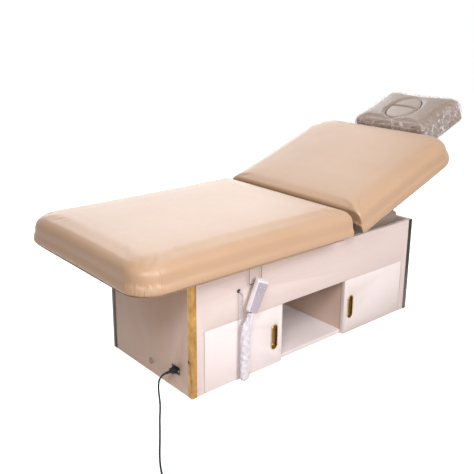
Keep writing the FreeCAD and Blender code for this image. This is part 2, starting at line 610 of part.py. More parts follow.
nose = block("connector_nose", (OUTSIDE_FOOT, f"{OUTSIDE_FOOT} + socket_depth - socket_gap"),
             around("inlet_y", "socket_width / 2 - socket_gap"), around("inlet_z", "socket_height / 2 - socket_gap"))
grip = block("connector_grip", (f"{OUTSIDE_FOOT} - connector_length", OUTSIDE_FOOT),
             around("inlet_y", "connector_width / 2"), around("inlet_z", "connector_height / 2"))
relief = doc.addObject("Part::Cone", "connector_relief")
bind(relief, "Radius1", "relief_end_radius")
bind(relief, "Radius2", "relief_radius")
bind(relief, "Height", "relief_length")
relief.Placement = Placement(Vector(), AXIS_TURNS["x"])
bind(relief, "Placement.Base.x", f"{OUTSIDE_FOOT} - connector_length - relief_length")
bind(relief, "Placement.Base.y", "inlet_y")
bind(relief, "Placement.Base.z", "inlet_z")
keep("cord_connector", fuse("cord_connector", [nose, grip, relief]))

# Power cord: from the connector down to the floor, out past the foot end and into a put-away coil.
EXIT_X = value(f"{OUTSIDE_FOOT} - connector_length - relief_length")
CORD_Z = value("cord_diameter / 2")
CORD_ROUTE = [
    (EXIT_X, value("inlet_y"), value("inlet_z")),
    (-704.5, -176, 87),
    (-720, -177.6, 81.5),
    (-732.5, -181.8, 71),
    (-739, -187.5, 56.5),
    (-741.5, -192, 33),
    (-744.5, -199.5, 19),
    (-750, -210.5, 8.8),
    (-757.5, -223.5, CORD_Z),
    (-769.5, -241.5, CORD_Z),
    (-786.5, -266, CORD_Z),
    (-810, -298, CORD_Z),
    (-837, -338, CORD_Z),
    (-866, -381, CORD_Z),
    (-898, -427, CORD_Z),
    (-929, -471, CORD_Z),
    (-958, -516, CORD_Z),
    (-983, -562.5, CORD_Z),
]


def bisected_path(points, radius=None):
    """Straight runs joined by tangent arcs; each arc is as large as its two runs allow, or the radius given."""
    points = [Vector(*p) for p in points]
    edges, start, radii = [], points[0], []
    for before, corner, after in zip(points, points[1:], points[2:]):
        back, ahead = before - corner, after - corner
        half_turn = (math.pi - back.getAngle(ahead)) / 2
        size = radius or 0.45 * min(back.Length, ahead.Length) / math.tan(half_turn)
        reach = size * math.tan(half_turn)
        back.normalize()
        ahead.normalize()
        into, out = corner + back * reach, corner + ahead * reach
        bisector = (back + ahead).normalize()
        middle = corner + bisector * (size / math.cos(half_turn) - size)
        if (into - start).Length > 1e-6:
            edges.append(Part.LineSegment(start, into).toShape())
        edges.append(Part.Arc(into, middle, out).toShape())
        start = out
        radii.append(size)
    edges.append(Part.LineSegment(start, points[-1]).toShape())
    return Part.Wire(edges), radii


def tube(path, diameter):
    """A round tube along a tangent path; its volume is compared with its section times its length."""
    first = path.Edges[0]
    start, heading = first.valueAt(first.FirstParameter), first.tangentAt(first.FirstParameter)
    section = Part.Wire(Part.Circle(start, heading, diameter / 2).toShape())
    shell = Part.BRepOffsetAPI.MakePipeShell(path)
    shell.add(section)
    shell.build()
    shell.makeSolid()
    solid = shell.shape()
    expected = math.pi * diameter ** 2 / 4 * path.Length
    print(f"tube {path.Length:.1f} long, volume off by {abs(solid.Volume / expected - 1):.4f}")
    return solid


def arc_or_line(start, end, corner_heading, from_start):
    """The arc between two points that has the given heading at one of them."""
    chord = end - start
    unit = Vector(chord).normalize()
    side = corner_heading - unit * corner_heading.dot(unit)
    if side.Length < 1e-7:
        return Part.LineSegment(start, end).toShape()
    turn = unit.getAngle(corner_heading)
    bulge = side.normalize() * (chord.Length / 2 * math.tan(turn / 2))
    middle = start + chord / 2 + (bulge if from_start else bulge * -1)
    return Part.Arc(start, middle, end).toShape()


def biarc(start, start_heading, end, end_heading):
    """Two tangent arcs between two points with given headings."""
    chord = end - start
    along = chord.dot(start_heading + end_heading)
    spread = 2 * (1 - start_heading.dot(end_heading))
    if spread < 1e-9:
        reach = chord.dot(chord) / (2 * along)
    else:
        reach = (math.sqrt(along ** 2 + spread * chord.dot(chord)) - along) / spread
    joint = (start + start_heading * reach + end - end_heading * reach) / 2
    return [arc_or_line(start, joint, start_heading, True), arc_or_line(joint, end, end_heading, False)]


def wound_path(places, lead_in, lead_out):
    """A path of biarcs through (point, heading) pairs, with straight ends."""
    edges = [Part.LineSegment(lead_in, places[0][0]).toShape()]
    for (start, start_heading), (end, end_heading) in zip(places, places[1:]):
        edges += biarc(start, start_heading, end, end_heading)
    edges.append(Part.LineSegment(places[-1][0], lead_out).toShape())
    return Part.Wire(edges)


def headings(point_at, stations, small):
    """Points of a curve with their unit headings."""
    places = []
    for station in stations:
        heading = point_at(station + small) - point_at(station - small)
        places.append((point_at(station), heading.normalize()))
    return places


def least_gap(path, diameter, apart):
    """The least gap between stretches of a tube that lie further apart along it than given."""
    count = int(path.Length / (diameter / 3))
    points = path.discretize(Number=count)
    step = path.Length / (count - 1)
    skip = int(apart / step) + 1
    cell = diameter * 2
    grid = {}
    for index, point in enumerate(points):
        grid.setdefault(tuple(int(n // cell) for n in point), []).append(index)
    least = cell
    for (i, j, k), members in grid.items():
        near = [n for di in (-1, 0, 1) for dj in (-1, 0, 1) for dk in (-1, 0, 1)
                for n in grid.get((i + di, j + dj, k + dk), ())]
        for one in members:
            for other in near:
                if other - one > skip:
                    least = min(least, points[one].distanceToPoint(points[other]))
    return least - diameter


# The coil spirals in over one layer, climbs in the half turn where it reverses, and spirals out on top.
TURNS = value("coil_turns")
COIL_PITCH = value("coil_pitch")
COIL_WAY = math.radians(value("coil_heading"))
COIL_AHEAD = Vector(math.cos(COIL_WAY), math.sin(COIL_WAY), 0)
COIL_START_ANGLE = COIL_WAY + math.radians(QUARTER_TURN)
CLIMB_TURNS = 0.5
REVERSAL = TURNS + CLIMB_TURNS / 2


def coil_point(turned):
    radius = value("coil_inner") + COIL_PITCH * abs(turned - REVERSAL)
    climbed = min(max((turned - TURNS) / CLIMB_TURNS, 0), 1)
    angle = COIL_START_ANGLE - 2 * math.pi * turned
    return Vector(value("coil_x") + radius * math.cos(angle), value("coil_y") + radius * math.sin(angle),
                  CORD_Z + COIL_PITCH * climbed)


quarters = round((2 * TURNS + CLIMB_TURNS) * 4)
coil_places = headings(coil_point, [n / 4 for n in range(quarters + 1)], 0.01)
coil_places[0] = (coil_places[0][0], COIL_AHEAD)
coil_places[-1] = (coil_places[-1][0], COIL_AHEAD)
coil_start = coil_places[0][0] - COIL_AHEAD * value("cord_diameter")
coil_end = coil_places[-1][0] + COIL_AHEAD * value("plug_lead")
coil_path = wound_path(coil_places, coil_start, coil_end)
print(f"coil gap to itself {least_gap(coil_path, value('cord_diameter'), 3 * value('cord_diameter')):.2f}")
keep("power_cord_coil", form("power_cord_coil", tube(coil_path, value("cord_diameter"))))

route_path, route_radii = bisected_path(CORD_ROUTE + [tuple(coil_start)])
print("cord radii", [round(r) for r in route_radii], "runs", [
    round((Vector(*b) - Vector(*a)).Length) for a, b in zip(CORD_ROUTE, CORD_ROUTE[1:] + [tuple(coil_start)])])
keep("power_cord", form("power_cord", tube(route_path, value("cord_diameter"))))
print(f"power cord {route_path.Length + coil_path.Length:.0f} long from connector to plug")

# Mains plug at the end of the coil, lying beside it.
PLUG_HALF_HEIGHT = "(cord_diameter / 2 + coil_pitch)"
plug_relief = Part.makeCone(value("relief_end_radius"), value("relief_radius"), value("relief_length"),
                            Vector(), Vector(1, 0, 0))
plug_body = Part.makeBox(value("plug_length"), value("plug_width"), value(f"2 * {PLUG_HALF_HEIGHT}"),
                         Vector(value("relief_length"), value("-plug_width / 2"), value(f"-{PLUG_HALF_HEIGHT}")))
pins = [Part.makeCylinder(value("prong_radius"), value("prong_length"),
                          Vector(value("relief_length + plug_length"), side * value("prong_spacing") / 2, 0),
                          Vector(1, 0, 0)) for side in (-1, 1)]
mains_plug = form("mains_plug", plug_body.fuse([plug_relief] + pins).removeSplitter())
mains_plug.Placement = Placement(coil_end, Rotation(Vector(0, 0, 1), value("coil_heading")))
keep("mains_plug", mains_plug)

# Lifting columns: a tube on the cabinet's floor, a second tube sliding in it, and an actuator inside.
RAIL_LOW = "(bed_bottom - rail_height)"
CROSS_LOW = "(bed_bottom - 2 * rail_height)"
HEAD_PLATE_LOW = "(bed_bottom - 2 * rail_height - foot_plate)"
TUBE_LOW = "(glide_height + board + foot_plate)"
INSIDE_X = "(column_width / 2 - column_wall)"
INSIDE_Y = "(column_depth / 2 - column_wall)"
INNER_X = "(column_width / 2 - column_wall - column_slip)"
INNER_Y = "(column_depth / 2 - column_wall - column_slip)"


def column(name, middle, half_x, half_y, low, high):
    return block(name, around(middle, half_x), around("0", half_y), (low, high))


outers, collars, inners, actuators, rods, bolts, bolt_bores = [], [], [], [], [], [], []
for end, middle in (("foot", "(-column_x)"), ("head", "column_x")):
    foot = column(f"foot_plate_{end}", middle, "column_width / 2 + foot_plate_margin",
                  "column_depth / 2 + foot_plate_margin", FLOOR_TOP, TUBE_LOW)
    tube_blank = column(f"outer_tube_{end}", middle, "column_width / 2", "column_depth / 2", TUBE_LOW, "column_high")
    tube_bore = column(f"outer_bore_{end}", middle, INSIDE_X, INSIDE_Y, TUBE_LOW, "column_high + board")
    foot_bores = []
    for side_x in (-1, 1):
        for side_y in (-1, 1):
            place = (f"{middle} + {side_x} * (column_width / 2 + foot_plate_margin - bolt_inset)",
                     f"{side_y} * (column_depth / 2 + foot_plate_margin - bolt_inset)")
            tag = f"{end}_{side_x + 1}_{side_y + 1}"
            shank = rod(f"bolt_shank_{tag}", "z", "bolt_radius", (*place, "glide_height"), "board + foot_plate")
            bolt_head = rod(f"bolt_head_{tag}", "z", "bolt_head_radius", (*place, TUBE_LOW), "bolt_head")
            bolts.append(fuse(f"bolt_{tag}", [shank, bolt_head]))
            foot_bores.append(rod(f"foot_bore_{tag}", "z", "bolt_radius", (*place, "glide_height"),
                                  "board + foot_plate"))
            bolt_bores.append(rod(f"floor_bore_{tag}", "z", "bolt_radius", (*place, "0"), "2 * board"))
    foot_blank = fuse(f"column_blank_{end}", [foot, cut(f"outer_shell_{end}", tube_blank, [tube_bore])])
    outers.append(cut(f"outer_column_{end}", foot_blank, foot_bores))
    collar_blank = fuse(f"collar_blank_{end}", [
        column(f"collar_body_{end}", middle, INSIDE_X, INSIDE_Y, "column_high - collar_depth", "column_high"),
        column(f"collar_lip_{end}", middle, "column_width / 2", "column_depth / 2", "column_high",
               "column_high + collar_lip")])
    collar_bore = column(f"collar_bore_{end}", middle, f"{INNER_X} + slide_fit", f"{INNER_Y} + slide_fit",
                         "column_high - 2 * collar_depth", "column_high + collar_depth")
    collars.append(cut(f"collar_{end}", collar_blank, [collar_bore]))
    inner_blank = column(f"inner_tube_{end}", middle, INNER_X, INNER_Y, "inner_low", HEAD_PLATE_LOW)
    inner_bore = column(f"inner_bore_{end}", middle, f"{INNER_X} - column_wall", f"{INNER_Y} - column_wall",
                        "inner_low - board", HEAD_PLATE_LOW)
    guide_blank = column(f"guide_blank_{end}", middle, f"{INSIDE_X} - slide_fit", f"{INSIDE_Y} - slide_fit",
                         "inner_low - guide_height", "inner_low")
    guide_bore = rod(f"guide_bore_{end}", "z", "actuator_radius + column_slip", (middle, "0", "0"), "inner_low")
    head_plate = column(f"head_plate_{end}", middle, "column_width / 2 + foot_plate_margin",
                        "column_depth / 2 + foot_plate_margin", HEAD_PLATE_LOW, CROSS_LOW)
    inners.append(fuse(f"inner_column_{end}", [cut(f"inner_shell_{end}", inner_blank, [inner_bore]),
                                               cut(f"guide_{end}", guide_blank, [guide_bore]), head_plate]))
    motor = column(f"lift_motor_{end}", middle, f"{INSIDE_X} - motor_margin", f"{INSIDE_Y} - motor_margin",
                   TUBE_LOW, f"{TUBE_LOW} + motor_height")
    actuator_tube = rod(f"actuator_tube_{end}", "z", "actuator_radius", (middle, "0", f"{TUBE_LOW} + motor_height"),
                        f"actuator_top - {TUBE_LOW} - motor_height")
    actuator_bore = rod(f"actuator_bore_{end}", "z", "rod_radius + slide_fit",
                        (middle, "0", f"{TUBE_LOW} + motor_height"), "actuator_top")
    actuators.append(cut(f"lift_actuator_{end}", fuse(f"actuator_blank_{end}", [motor, actuator_tube]),
                         [actuator_bore]))
    rods.append(rod(f"lift_rod_{end}", "z", "rod_radius", (middle, "0", "rod_low"), f"{HEAD_PLATE_LOW} - rod_low"))
floor_blank = block("floor_blank", (f"-{INSIDE_END}", INSIDE_END), (CARCASS_FRONT, INSIDE_REAR),
                    ("glide_height", FLOOR_TOP))
keep("base_panel", cut("base_panel", floor_blank, bolt_bores))
keep("outer_columns", group("outer_columns", outers))
keep("column_collars", group("column_collars", collars))
keep("inner_columns", group("inner_columns", inners))
keep("lift_actuators", group("lift_actuators", actuators))
keep("lift_rods", group("lift_rods", rods))
keep("column_bolts", group("column_bolts", bolts))
keep("control_box", block("control_box", around("control_x", "control_length / 2"), around("0", "control_width / 2"),
                          (f"{CEILING} + board", f"{CEILING} + board + control_height")))

# Bed frame on the columns: two hollow rails on four cross members, with the skirt round them.
SKIRT_HALF = "(cabinet_depth / 2 - board - skirt_half)"
RAIL_OUT = f"({SKIRT_HALF} - skirt_board)"
RAIL_IN = f"({SKIRT_HALF} - skirt_board - rail_width)"
BACK_TUBE_Y = f"({RAIL_IN} - back_tube_y)"
BACK_ACTUATOR_Y = f"({BACK_TUBE_Y} - back_actuator_y)"
SKIRT_IN = "(skirt_end - skirt_board)"
rails = []
for tag, sign in (("front", -1), ("rear", 1)):
    across = (f"-{RAIL_OUT}", f"-{RAIL_IN}") if sign < 0 else (RAIL_IN, RAIL_OUT)
    rail = block(f"rail_{tag}", (f"-{SKIRT_IN}", SKIRT_IN), across, (RAIL_LOW, "bed_bottom"))
    hollow = block(f"rail_hollow_{tag}", ("-cabinet_length", "cabinet_length"),
                   (f"{across[0]} + column_wall", f"{across[1]} - column_wall"),
                   (f"{RAIL_LOW} + column_wall", "bed_bottom - column_wall"))
    rails.append(cut(f"bed_rail_{tag}", rail, [hollow]))
keep("bed_rails", group("bed_rails", rails))
crosses = [block(f"cross_{index}", around(middle, "cross_width / 2"), around("0", RAIL_OUT), (CROSS_LOW, RAIL_LOW))
           for index, middle in enumerate(("cross_foot_x", "(-column_x)", "cross_mid_x", "column_x"))]
keep("cross_members", group("cross_members", crosses))

skirt_sides = []
for tag, face in (("front", f"-{SKIRT_HALF}"), ("rear", RAIL_OUT)):
    outline = [("-skirt_end", "skirt_low"), ("skirt_end", "skirt_low"), ("skirt_end", "skirt_top"),
               ("-skirt_end", "skirt_top")]
    skirt = plate(f"skirt_{tag}", "XZ_Plane", [outline], "skirt_board", face)
    round_edges(skirt, "corners", "skirt_corner", "y", lambda middle: middle.z > value("(skirt_low + skirt_top) / 2"))
    skirt_sides.append(skirt)
keep("skirt_sides", group("skirt_sides", skirt_sides))
skirt_ends = [block(f"skirt_end_{tag}", along, around("0", RAIL_OUT), ("skirt_low", "skirt_top - skirt_end_drop"))
              for tag, along in (("foot", ("-skirt_end", f"-{SKIRT_IN}")), ("head", (SKIRT_IN, "skirt_end")))]
keep("skirt_ends", group("skirt_ends", skirt_ends))


# Cushions: a ruled loft through closed plan outlines, from the tucked lower edge to the crown.
CORNER_SHARE = 1 - math.sqrt(0.5)
ROUNDING_STEPS = 5
CROWN_SHARES = [(0.1, 0.42), (0.27, 0.8), (0.5, 1)]


def outline(low, high, half, near, far, height, draws):
    """A closed plan outline with rounded corners and sides that bow inward between them."""
    draw = value("pad_draw")
    shift = value("bed_shift")
    near_draw, far_draw = draws
    sides = [
        ((low + near, -half), (high - far, -half), (0, draw), (high, -half)),
        ((high, far - half), (high, half - far), (-far_draw, 0), (high, half)),
        ((high - far, half), (low + near, half), (0, -draw), (low, half)),
        ((low, half - near), (low, near - half), (near_draw, 0), (low, -half)),
    ]
    edges = []
    for index, (start, end, bow, corner) in enumerate(sides):
        following = sides[(index + 1) % len(sides)][0]
        start, end, corner, following = (Vector(x, y + shift, height) for x, y in (start, end, corner, following))
        edges.append(Part.Arc(start, (start + end) / 2 + Vector(*bow, 0), end).toShape())
        on_corner = corner + (end + following - corner * 2) * CORNER_SHARE
        edges.append(Part.Arc(end, on_corner, following).toShape())
    return Part.Wire(edges)


def cushion(low, high, half, base, thickness, near, far, near_edge, edge, far_edge, draws):
    """A cushion's solid: tucked in at its foot, drawn in at its sides, rounded above and crowned.

    draws says how far its near and far ends are drawn in.
    """
    crown = value("pad_crown")
    shoulder = thickness - crown - edge
    levels = [(0, value("pad_tuck"), 0), (value("pad_tuck_height"), 0, 0), (shoulder, 0, 0)]
    for step in range(1, ROUNDING_STEPS + 1):
        angle = math.radians(QUARTER_TURN) * step / ROUNDING_STEPS
        levels.append((shoulder + edge * math.sin(angle), 0, 1 - math.cos(angle)))
    for inset_share, rise_share in CROWN_SHARES:
        levels.append((thickness - crown * (1 - rise_share), inset_share * (half - edge), 1))
    wires = []
    for height, inset, rounding in levels:
        half_here = half - inset - rounding * edge
        share = half_here / half
        wires.append(outline(low + inset + rounding * near_edge, high - inset - rounding * far_edge,
                             half_here, near * share, far * share, base + height, draws))
    return Part.makeLoft(wires, True, True)


def board_plate(name, low, high, half, base, thickness, near, far):
    """A plywood board with rounded corners, drawn level."""
    body = plate(name, "XY_Plane", [rectangle(low, high, f"bed_shift - ({half})", f"bed_shift + {half}")], thickness,
                 base)
    middle = value(f"(({low}) + ({high})) / 2")
    round_edges(body, "low_corners", near, "z", lambda place: place.x < middle)
    round_edges(body, "high_corners", far, "z", lambda place: place.x > middle)
    return body


leg_board = board_plate("leg_board", "leg_foot + board_inset", "leg_head - board_inset", "bed_half - board_inset",
                        "bed_bottom", "bed_board", "foot_corner - board_inset", "gap_corner")
keep("leg_board", leg_board)
leg_solid = cushion(value("leg_foot"), value("leg_head"), value("bed_half"), value("bed_bottom"),
                    value("pad_thickness"), value("foot_corner"), value("gap_corner"), value("pad_edge"),
                    value("pad_edge"), value("pad_gap_edge"), (value("pad_draw"), value("gap_draw")))
keep("leg_cushion", form("leg_cushion", leg_solid.cut(leg_board.Shape)))

# Back hinge: a bracket on each rail's inner face, with a shouldered pin into the back frame's tube.
brackets, hinge_pins = [], []
for tag, sign in (("front", -1), ("rear", 1)):
    inner = f"({RAIL_IN} - hinge_plate)"
    across = (f"-{RAIL_IN}", f"-{inner}") if sign < 0 else (inner, RAIL_IN)
    plate_blank = block(f"bracket_blank_{tag}", around("hinge_x", "hinge_plate_half"), across,
                        (RAIL_LOW, "bed_bottom"))
    pin_low = f"-{RAIL_IN}" if sign < 0 else f"({BACK_TUBE_Y} - back_tube / 2)"
    pin_length = f"{RAIL_IN} - {BACK_TUBE_Y} + back_tube / 2"
    pin_bore = rod(f"bracket_bore_{tag}", "y", "hinge_pin_radius", ("hinge_x", pin_low, "hinge_z"), pin_length)
    brackets.append(cut(f"bracket_{tag}", plate_blank, [pin_bore]))
    pin = rod(f"hinge_shank_{tag}", "y", "hinge_pin_radius", ("hinge_x", pin_low, "hinge_z"), pin_length)
    shoulder_near = f"({BACK_TUBE_Y} + back_tube / 2 + hinge_spacer_gap)"
    shoulder_low = f"-{inner}" if sign < 0 else shoulder_near
    shoulder = rod(f"hinge_shoulder_{tag}", "y", "hinge_shoulder_radius", ("hinge_x", shoulder_low, "hinge_z"),
                   f"{inner} - {shoulder_near}")
    hinge_pins.append(fuse(f"hinge_pin_{tag}", [pin, shoulder]))
keep("back_hinge_brackets", group("back_hinge_brackets", brackets))
keep("back_hinge_pins", group("back_hinge_pins", hinge_pins))

# Back frame: two side tubes that turn on the hinge pins, three cross tubes, and lugs for the actuator.
HALF_TUBE = "(back_tube / 2)"
frame_pieces, pin_bores = [], []
for tag, sign in (("front", "-"), ("rear", "")):
    frame_pieces.append(block(f"side_tube_{tag}", ("0", "socket_start"), around(f"({sign}{BACK_TUBE_Y})", HALF_TUBE),
                              (f"-{HALF_TUBE}", HALF_TUBE)))
    frame_pieces.append(rod(f"side_barrel_{tag}", "y", HALF_TUBE, ("0", f"{sign}{BACK_TUBE_Y} - {HALF_TUBE}", "0"),
                            "back_tube"))
    pin_bores.append(rod(f"side_bore_{tag}", "y", "hinge_pin_radius + pin_fit",
                         ("0", f"{sign}{BACK_TUBE_Y} - back_tube", "0"), "2 * back_tube"))
for tag, middle in (("low", "back_side_tube"), ("lug", "lug_along"), ("high", "(socket_start - back_tube / 2)")):
    frame_pieces.append(block(f"cross_tube_{tag}", around(middle, HALF_TUBE), around("0", BACK_TUBE_Y),
                              (f"-{HALF_TUBE}", HALF_TUBE)))
LUG_NEAR = "(eye_width / 2 + lug_gap)"
for tag, near, far in (("front", f"-({LUG_NEAR} + lug_wall)", f"-{LUG_NEAR}"),
                       ("rear", LUG_NEAR, f"({LUG_NEAR} + lug_wall)")):
    frame_pieces.append(block(f"lug_{tag}", around("lug_along", "lug_half"),
                              (f"{BACK_ACTUATOR_Y} + {near}", f"{BACK_ACTUATOR_Y} + {far}"), ("-lug_drop", "0")))
    frame_pieces.append(rod(f"lug_end_{tag}", "y", "lug_half", ("lug_along", f"{BACK_ACTUATOR_Y} + {near}", "-lug_drop"),
                            "lug_wall"))
LUG_PIN_START = f"{BACK_ACTUATOR_Y} - {LUG_NEAR} - lug_wall"
LUG_PIN_LENGTH = f"2 * ({LUG_NEAR} + lug_wall)"
pin_bores.append(rod("lug_bore", "y", "lug_pin_radius", ("lug_along", LUG_PIN_START, "-lug_drop"), LUG_PIN_LENGTH))
keep("back_frame", raise_back("back_frame", [cut("back_frame_level", fuse("back_frame_blank", frame_pieces),
                                                 pin_bores)]))
keep("lug_pin", raise_back("lug_pin", [rod("lug_pin_level", "y", "lug_pin_radius",
                                           ("lug_along", LUG_PIN_START, "-lug_drop"), LUG_PIN_LENGTH)]))

BACK_FAR = "(back_start + back_length)"
back_board = board_plate("back_board_level", "back_start + board_inset", f"{BACK_FAR} - board_inset",
                         "bed_half - board_inset", "back_lift", "bed_board", "gap_corner",
                         "back_corner - board_inset")
back_solid = cushion(value("back_start"), value(BACK_FAR), value("bed_half"), value("back_lift"),
                     value("pad_thickness"), value("gap_corner"), value("back_corner"), value("back_gap_edge"),
                     value("pad_edge"), value("pad_edge"), (value("gap_draw"), value("gap_draw")))
back_form = form("back_cushion_level", back_solid.cut(back_board.Shape))
keep("back_board", raise_back("back_board", [back_board]))
keep("back_cushion", raise_back("back_cushion", [back_form]))

sockets = []
for tag, sign in (("front", "-"), ("rear", "")):
    start = ("socket_start", f"{sign}socket_y", "-socket_drop")
    sockets.append(cut(f"headrest_tube_{tag}", rod(f"headrest_tube_blank_{tag}", "x", "socket_tube_radius", start,
                                                   "socket_length"),
                       [rod(f"headrest_tube_bore_{tag}", "x", "prong_rod_radius + pin_fit", start,
                            "2 * socket_length")]))
keep("headrest_tubes", raise_back("headrest_tubes", sockets))

# Back actuator, drawn lying along X from its lower pivot, then raised to meet the lugs.
UPPER_X = "(hinge_x + lug_along * cos(back_angle) + lug_drop * sin(back_angle))"
UPPER_Z = "(hinge_z + lug_along * sin(back_angle) - lug_drop * cos(back_angle))"
STROKE_ANGLE = f"atan(({UPPER_Z} - back_actuator_z) / ({UPPER_X} - back_actuator_x))"
STROKE_LENGTH = f"sqrt(({UPPER_X} - back_actuator_x) ^ 2 + ({UPPER_Z} - back_actuator_z) ^ 2)"
PIVOT = ("back_actuator_x", BACK_ACTUATOR_Y, "back_actuator_z")
print(f"back actuator {value(STROKE_LENGTH):.1f} long at {value(STROKE_ANGLE):.2f} degrees")

gear_housing = block("gear_housing", ("-gear_half", "gear_half"), around("0", "gear_width / 2"),
                     ("-gear_half", "back_motor_beside + gear_half"))
stroke_tube = rod("stroke_tube", "x", "stroke_tube_radius", ("gear_half", "0", "0"), "stroke_tube_length - gear_half")
back_motor = rod("back_motor", "x", "back_motor_radius", ("gear_half", "0", "back_motor_beside"),
                 "back_motor_length")
pivot_bore = rod("pivot_bore", "y", "pivot_radius + pin_fit", ("0", "-gear_width", "0"), "2 * gear_width")
stroke_bore = rod("stroke_bore", "x", "stroke_rod_radius + pin_fit", ("gear_half", "0", "0"), "stroke_tube_length")
back_actuator = cut("back_actuator_level", fuse("back_actuator_blank", [gear_housing, stroke_tube, back_motor]),
                    [pivot_bore, stroke_bore])
keep("back_actuator", lean("back_actuator", [back_actuator], Vector(0, -1, 0), STROKE_ANGLE, PIVOT))

stroke_rod = rod("stroke_rod", "x", "stroke_rod_radius", ("stroke_tube_length - stroke_rod_inside", "0", "0"),
                 f"{STROKE_LENGTH} - stroke_tube_length + stroke_rod_inside")
rod_eye = rod("rod_eye", "y", "eye_radius", (STROKE_LENGTH, "-eye_width / 2", "0"), "eye_width")
eye_bore = rod("eye_bore", "y", "lug_pin_radius + lug_slack", (STROKE_LENGTH, "-eye_width", "0"), "2 * eye_width")
back_rod = cut("back_rod_level", fuse("back_rod_blank", [stroke_rod, rod_eye]), [eye_bore])
keep("back_actuator_rod", lean("back_actuator_rod", [back_rod], Vector(0, -1, 0), STROKE_ANGLE, PIVOT))

HANGER_NEAR = "(gear_width / 2 + hanger_gap)"
hanger_pieces = [rod("pivot_pin", "y", "pivot_radius",
                     ("back_actuator_x", f"{BACK_ACTUATOR_Y} - {HANGER_NEAR} - hanger_wall", "back_actuator_z"),
                     f"2 * ({HANGER_NEAR} + hanger_wall)")]
for tag, near, far in (("front", f"-({HANGER_NEAR} + hanger_wall)", f"-{HANGER_NEAR}"),
                       ("rear", HANGER_NEAR, f"({HANGER_NEAR} + hanger_wall)")):
    hanger_pieces.append(block(f"hanger_plate_{tag}", around("back_actuator_x", "hanger_half"),
                               (f"{BACK_ACTUATOR_Y} + {near}", f"{BACK_ACTUATOR_Y} + {far}"),
                               ("back_actuator_z - hanger_tail", CROSS_LOW)))
keep("actuator_hanger", fuse("actuator_hanger", hanger_pieces))

# Headrest: two prongs in the headrest tubes, a crossbar, and a tilting pad with a face hole.
HEAD_NEAR = f"({BACK_FAR} + head_gap)"
HEAD_FAR = f"({HEAD_NEAR} + head_length)"
TILT_U = f"({HEAD_NEAR} + tilt_along)"
TILT_W = "(back_lift - tilt_drop)"
BAR_TOP = f"({TILT_W} - tilt_plate_half - bar_gap)"
PLATE_FAR = "(tilt_plate_y + tilt_plate)"
prong_start = "(socket_start + socket_length - prong_inside)"
carriage = [block("headrest_bar", around(TILT_U, "bar_width / 2"), around("0", "socket_y + prong_rod_radius"),
                  (f"{BAR_TOP} - bar_height", BAR_TOP))]
tilt_plates = []
for tag, sign in (("front", "-"), ("rear", "")):
    carriage.append(rod(f"prong_{tag}", "x", "prong_rod_radius", (prong_start, f"{sign}socket_y", "-socket_drop"),
                        f"{TILT_U} - {prong_start}"))

    def beside(near, far):
        return (f"-({far})", f"-({near})") if sign else (near, far)

    lug_ranges = [beside("tilt_plate_y - tilt_gap - tilt_lug", "tilt_plate_y - tilt_gap"),
                  beside(f"{PLATE_FAR} + tilt_gap", f"{PLATE_FAR} + tilt_gap + tilt_lug")]
    for index, across in enumerate(lug_ranges):
        carriage.append(block(f"tilt_lug_{tag}_{index}", around(TILT_U, "tilt_lug_half"), across, (BAR_TOP, TILT_W)))
        carriage.append(rod(f"tilt_lug_end_{tag}_{index}", "y", "tilt_lug_half", (TILT_U, across[0], TILT_W),
                            "tilt_lug"))
    pin_across = beside("tilt_plate_y - tilt_gap - tilt_lug", f"{PLATE_FAR} + tilt_gap + tilt_lug")
    carriage.append(rod(f"tilt_pin_{tag}", "y", "tilt_pin_radius", (TILT_U, pin_across[0], TILT_W),
                        "tilt_plate + 2 * (tilt_gap + tilt_lug)"))
    plate_across = beside("tilt_plate_y", PLATE_FAR)
    plate_blank = fuse(f"tilt_plate_blank_{tag}", [
        block(f"tilt_web_{tag}", around(TILT_U, "tilt_plate_half"), plate_across, (TILT_W, "back_lift")),
        rod(f"tilt_round_{tag}", "y", "tilt_plate_half", (TILT_U, plate_across[0], TILT_W), "tilt_plate"),
        block(f"tilt_strip_{tag}", (f"{TILT_U} - tilt_plate_half", f"{TILT_U} + tilt_foot"), plate_across,
              ("back_lift - tilt_plate", "back_lift"))])
    tilt_plates.append(cut(f"tilt_plate_{tag}", plate_blank, [
        rod(f"tilt_bore_{tag}", "y", "tilt_pin_radius + pin_fit", (TILT_U, f"{plate_across[0]} - tilt_plate", TILT_W),
            "3 * tilt_plate")]))
keep("headrest_carriage", raise_back("headrest_carriage", [fuse("headrest_carriage_level", carriage)]))
keep("headrest_tilt_plates", raise_back("headrest_tilt_plates", tilt_plates))


def oval(name, shrink, low, height):
    """An upright oval prism on the face hole's centre."""
    ring = doc.addObject("Part::Ellipse", name + "_ring")
    bind(ring, "MajorRadius", f"hole_long - ({shrink})")
    bind(ring, "MinorRadius", f"hole_wide - ({shrink})")
    bind(ring, "Placement.Base.x", f"{HEAD_NEAR} + hole_along")
    bind(ring, "Placement.Base.y", "bed_shift")
    bind(ring, "Placement.Base.z", low)
    prism = doc.addObject("Part::Extrusion", name)
    prism.Base = ring
    prism.DirMode = "Custom"
    prism.Dir = Vector(0, 0, 1)
    bind(prism, "LengthFwd", height)
    prism.Solid = True
    return prism


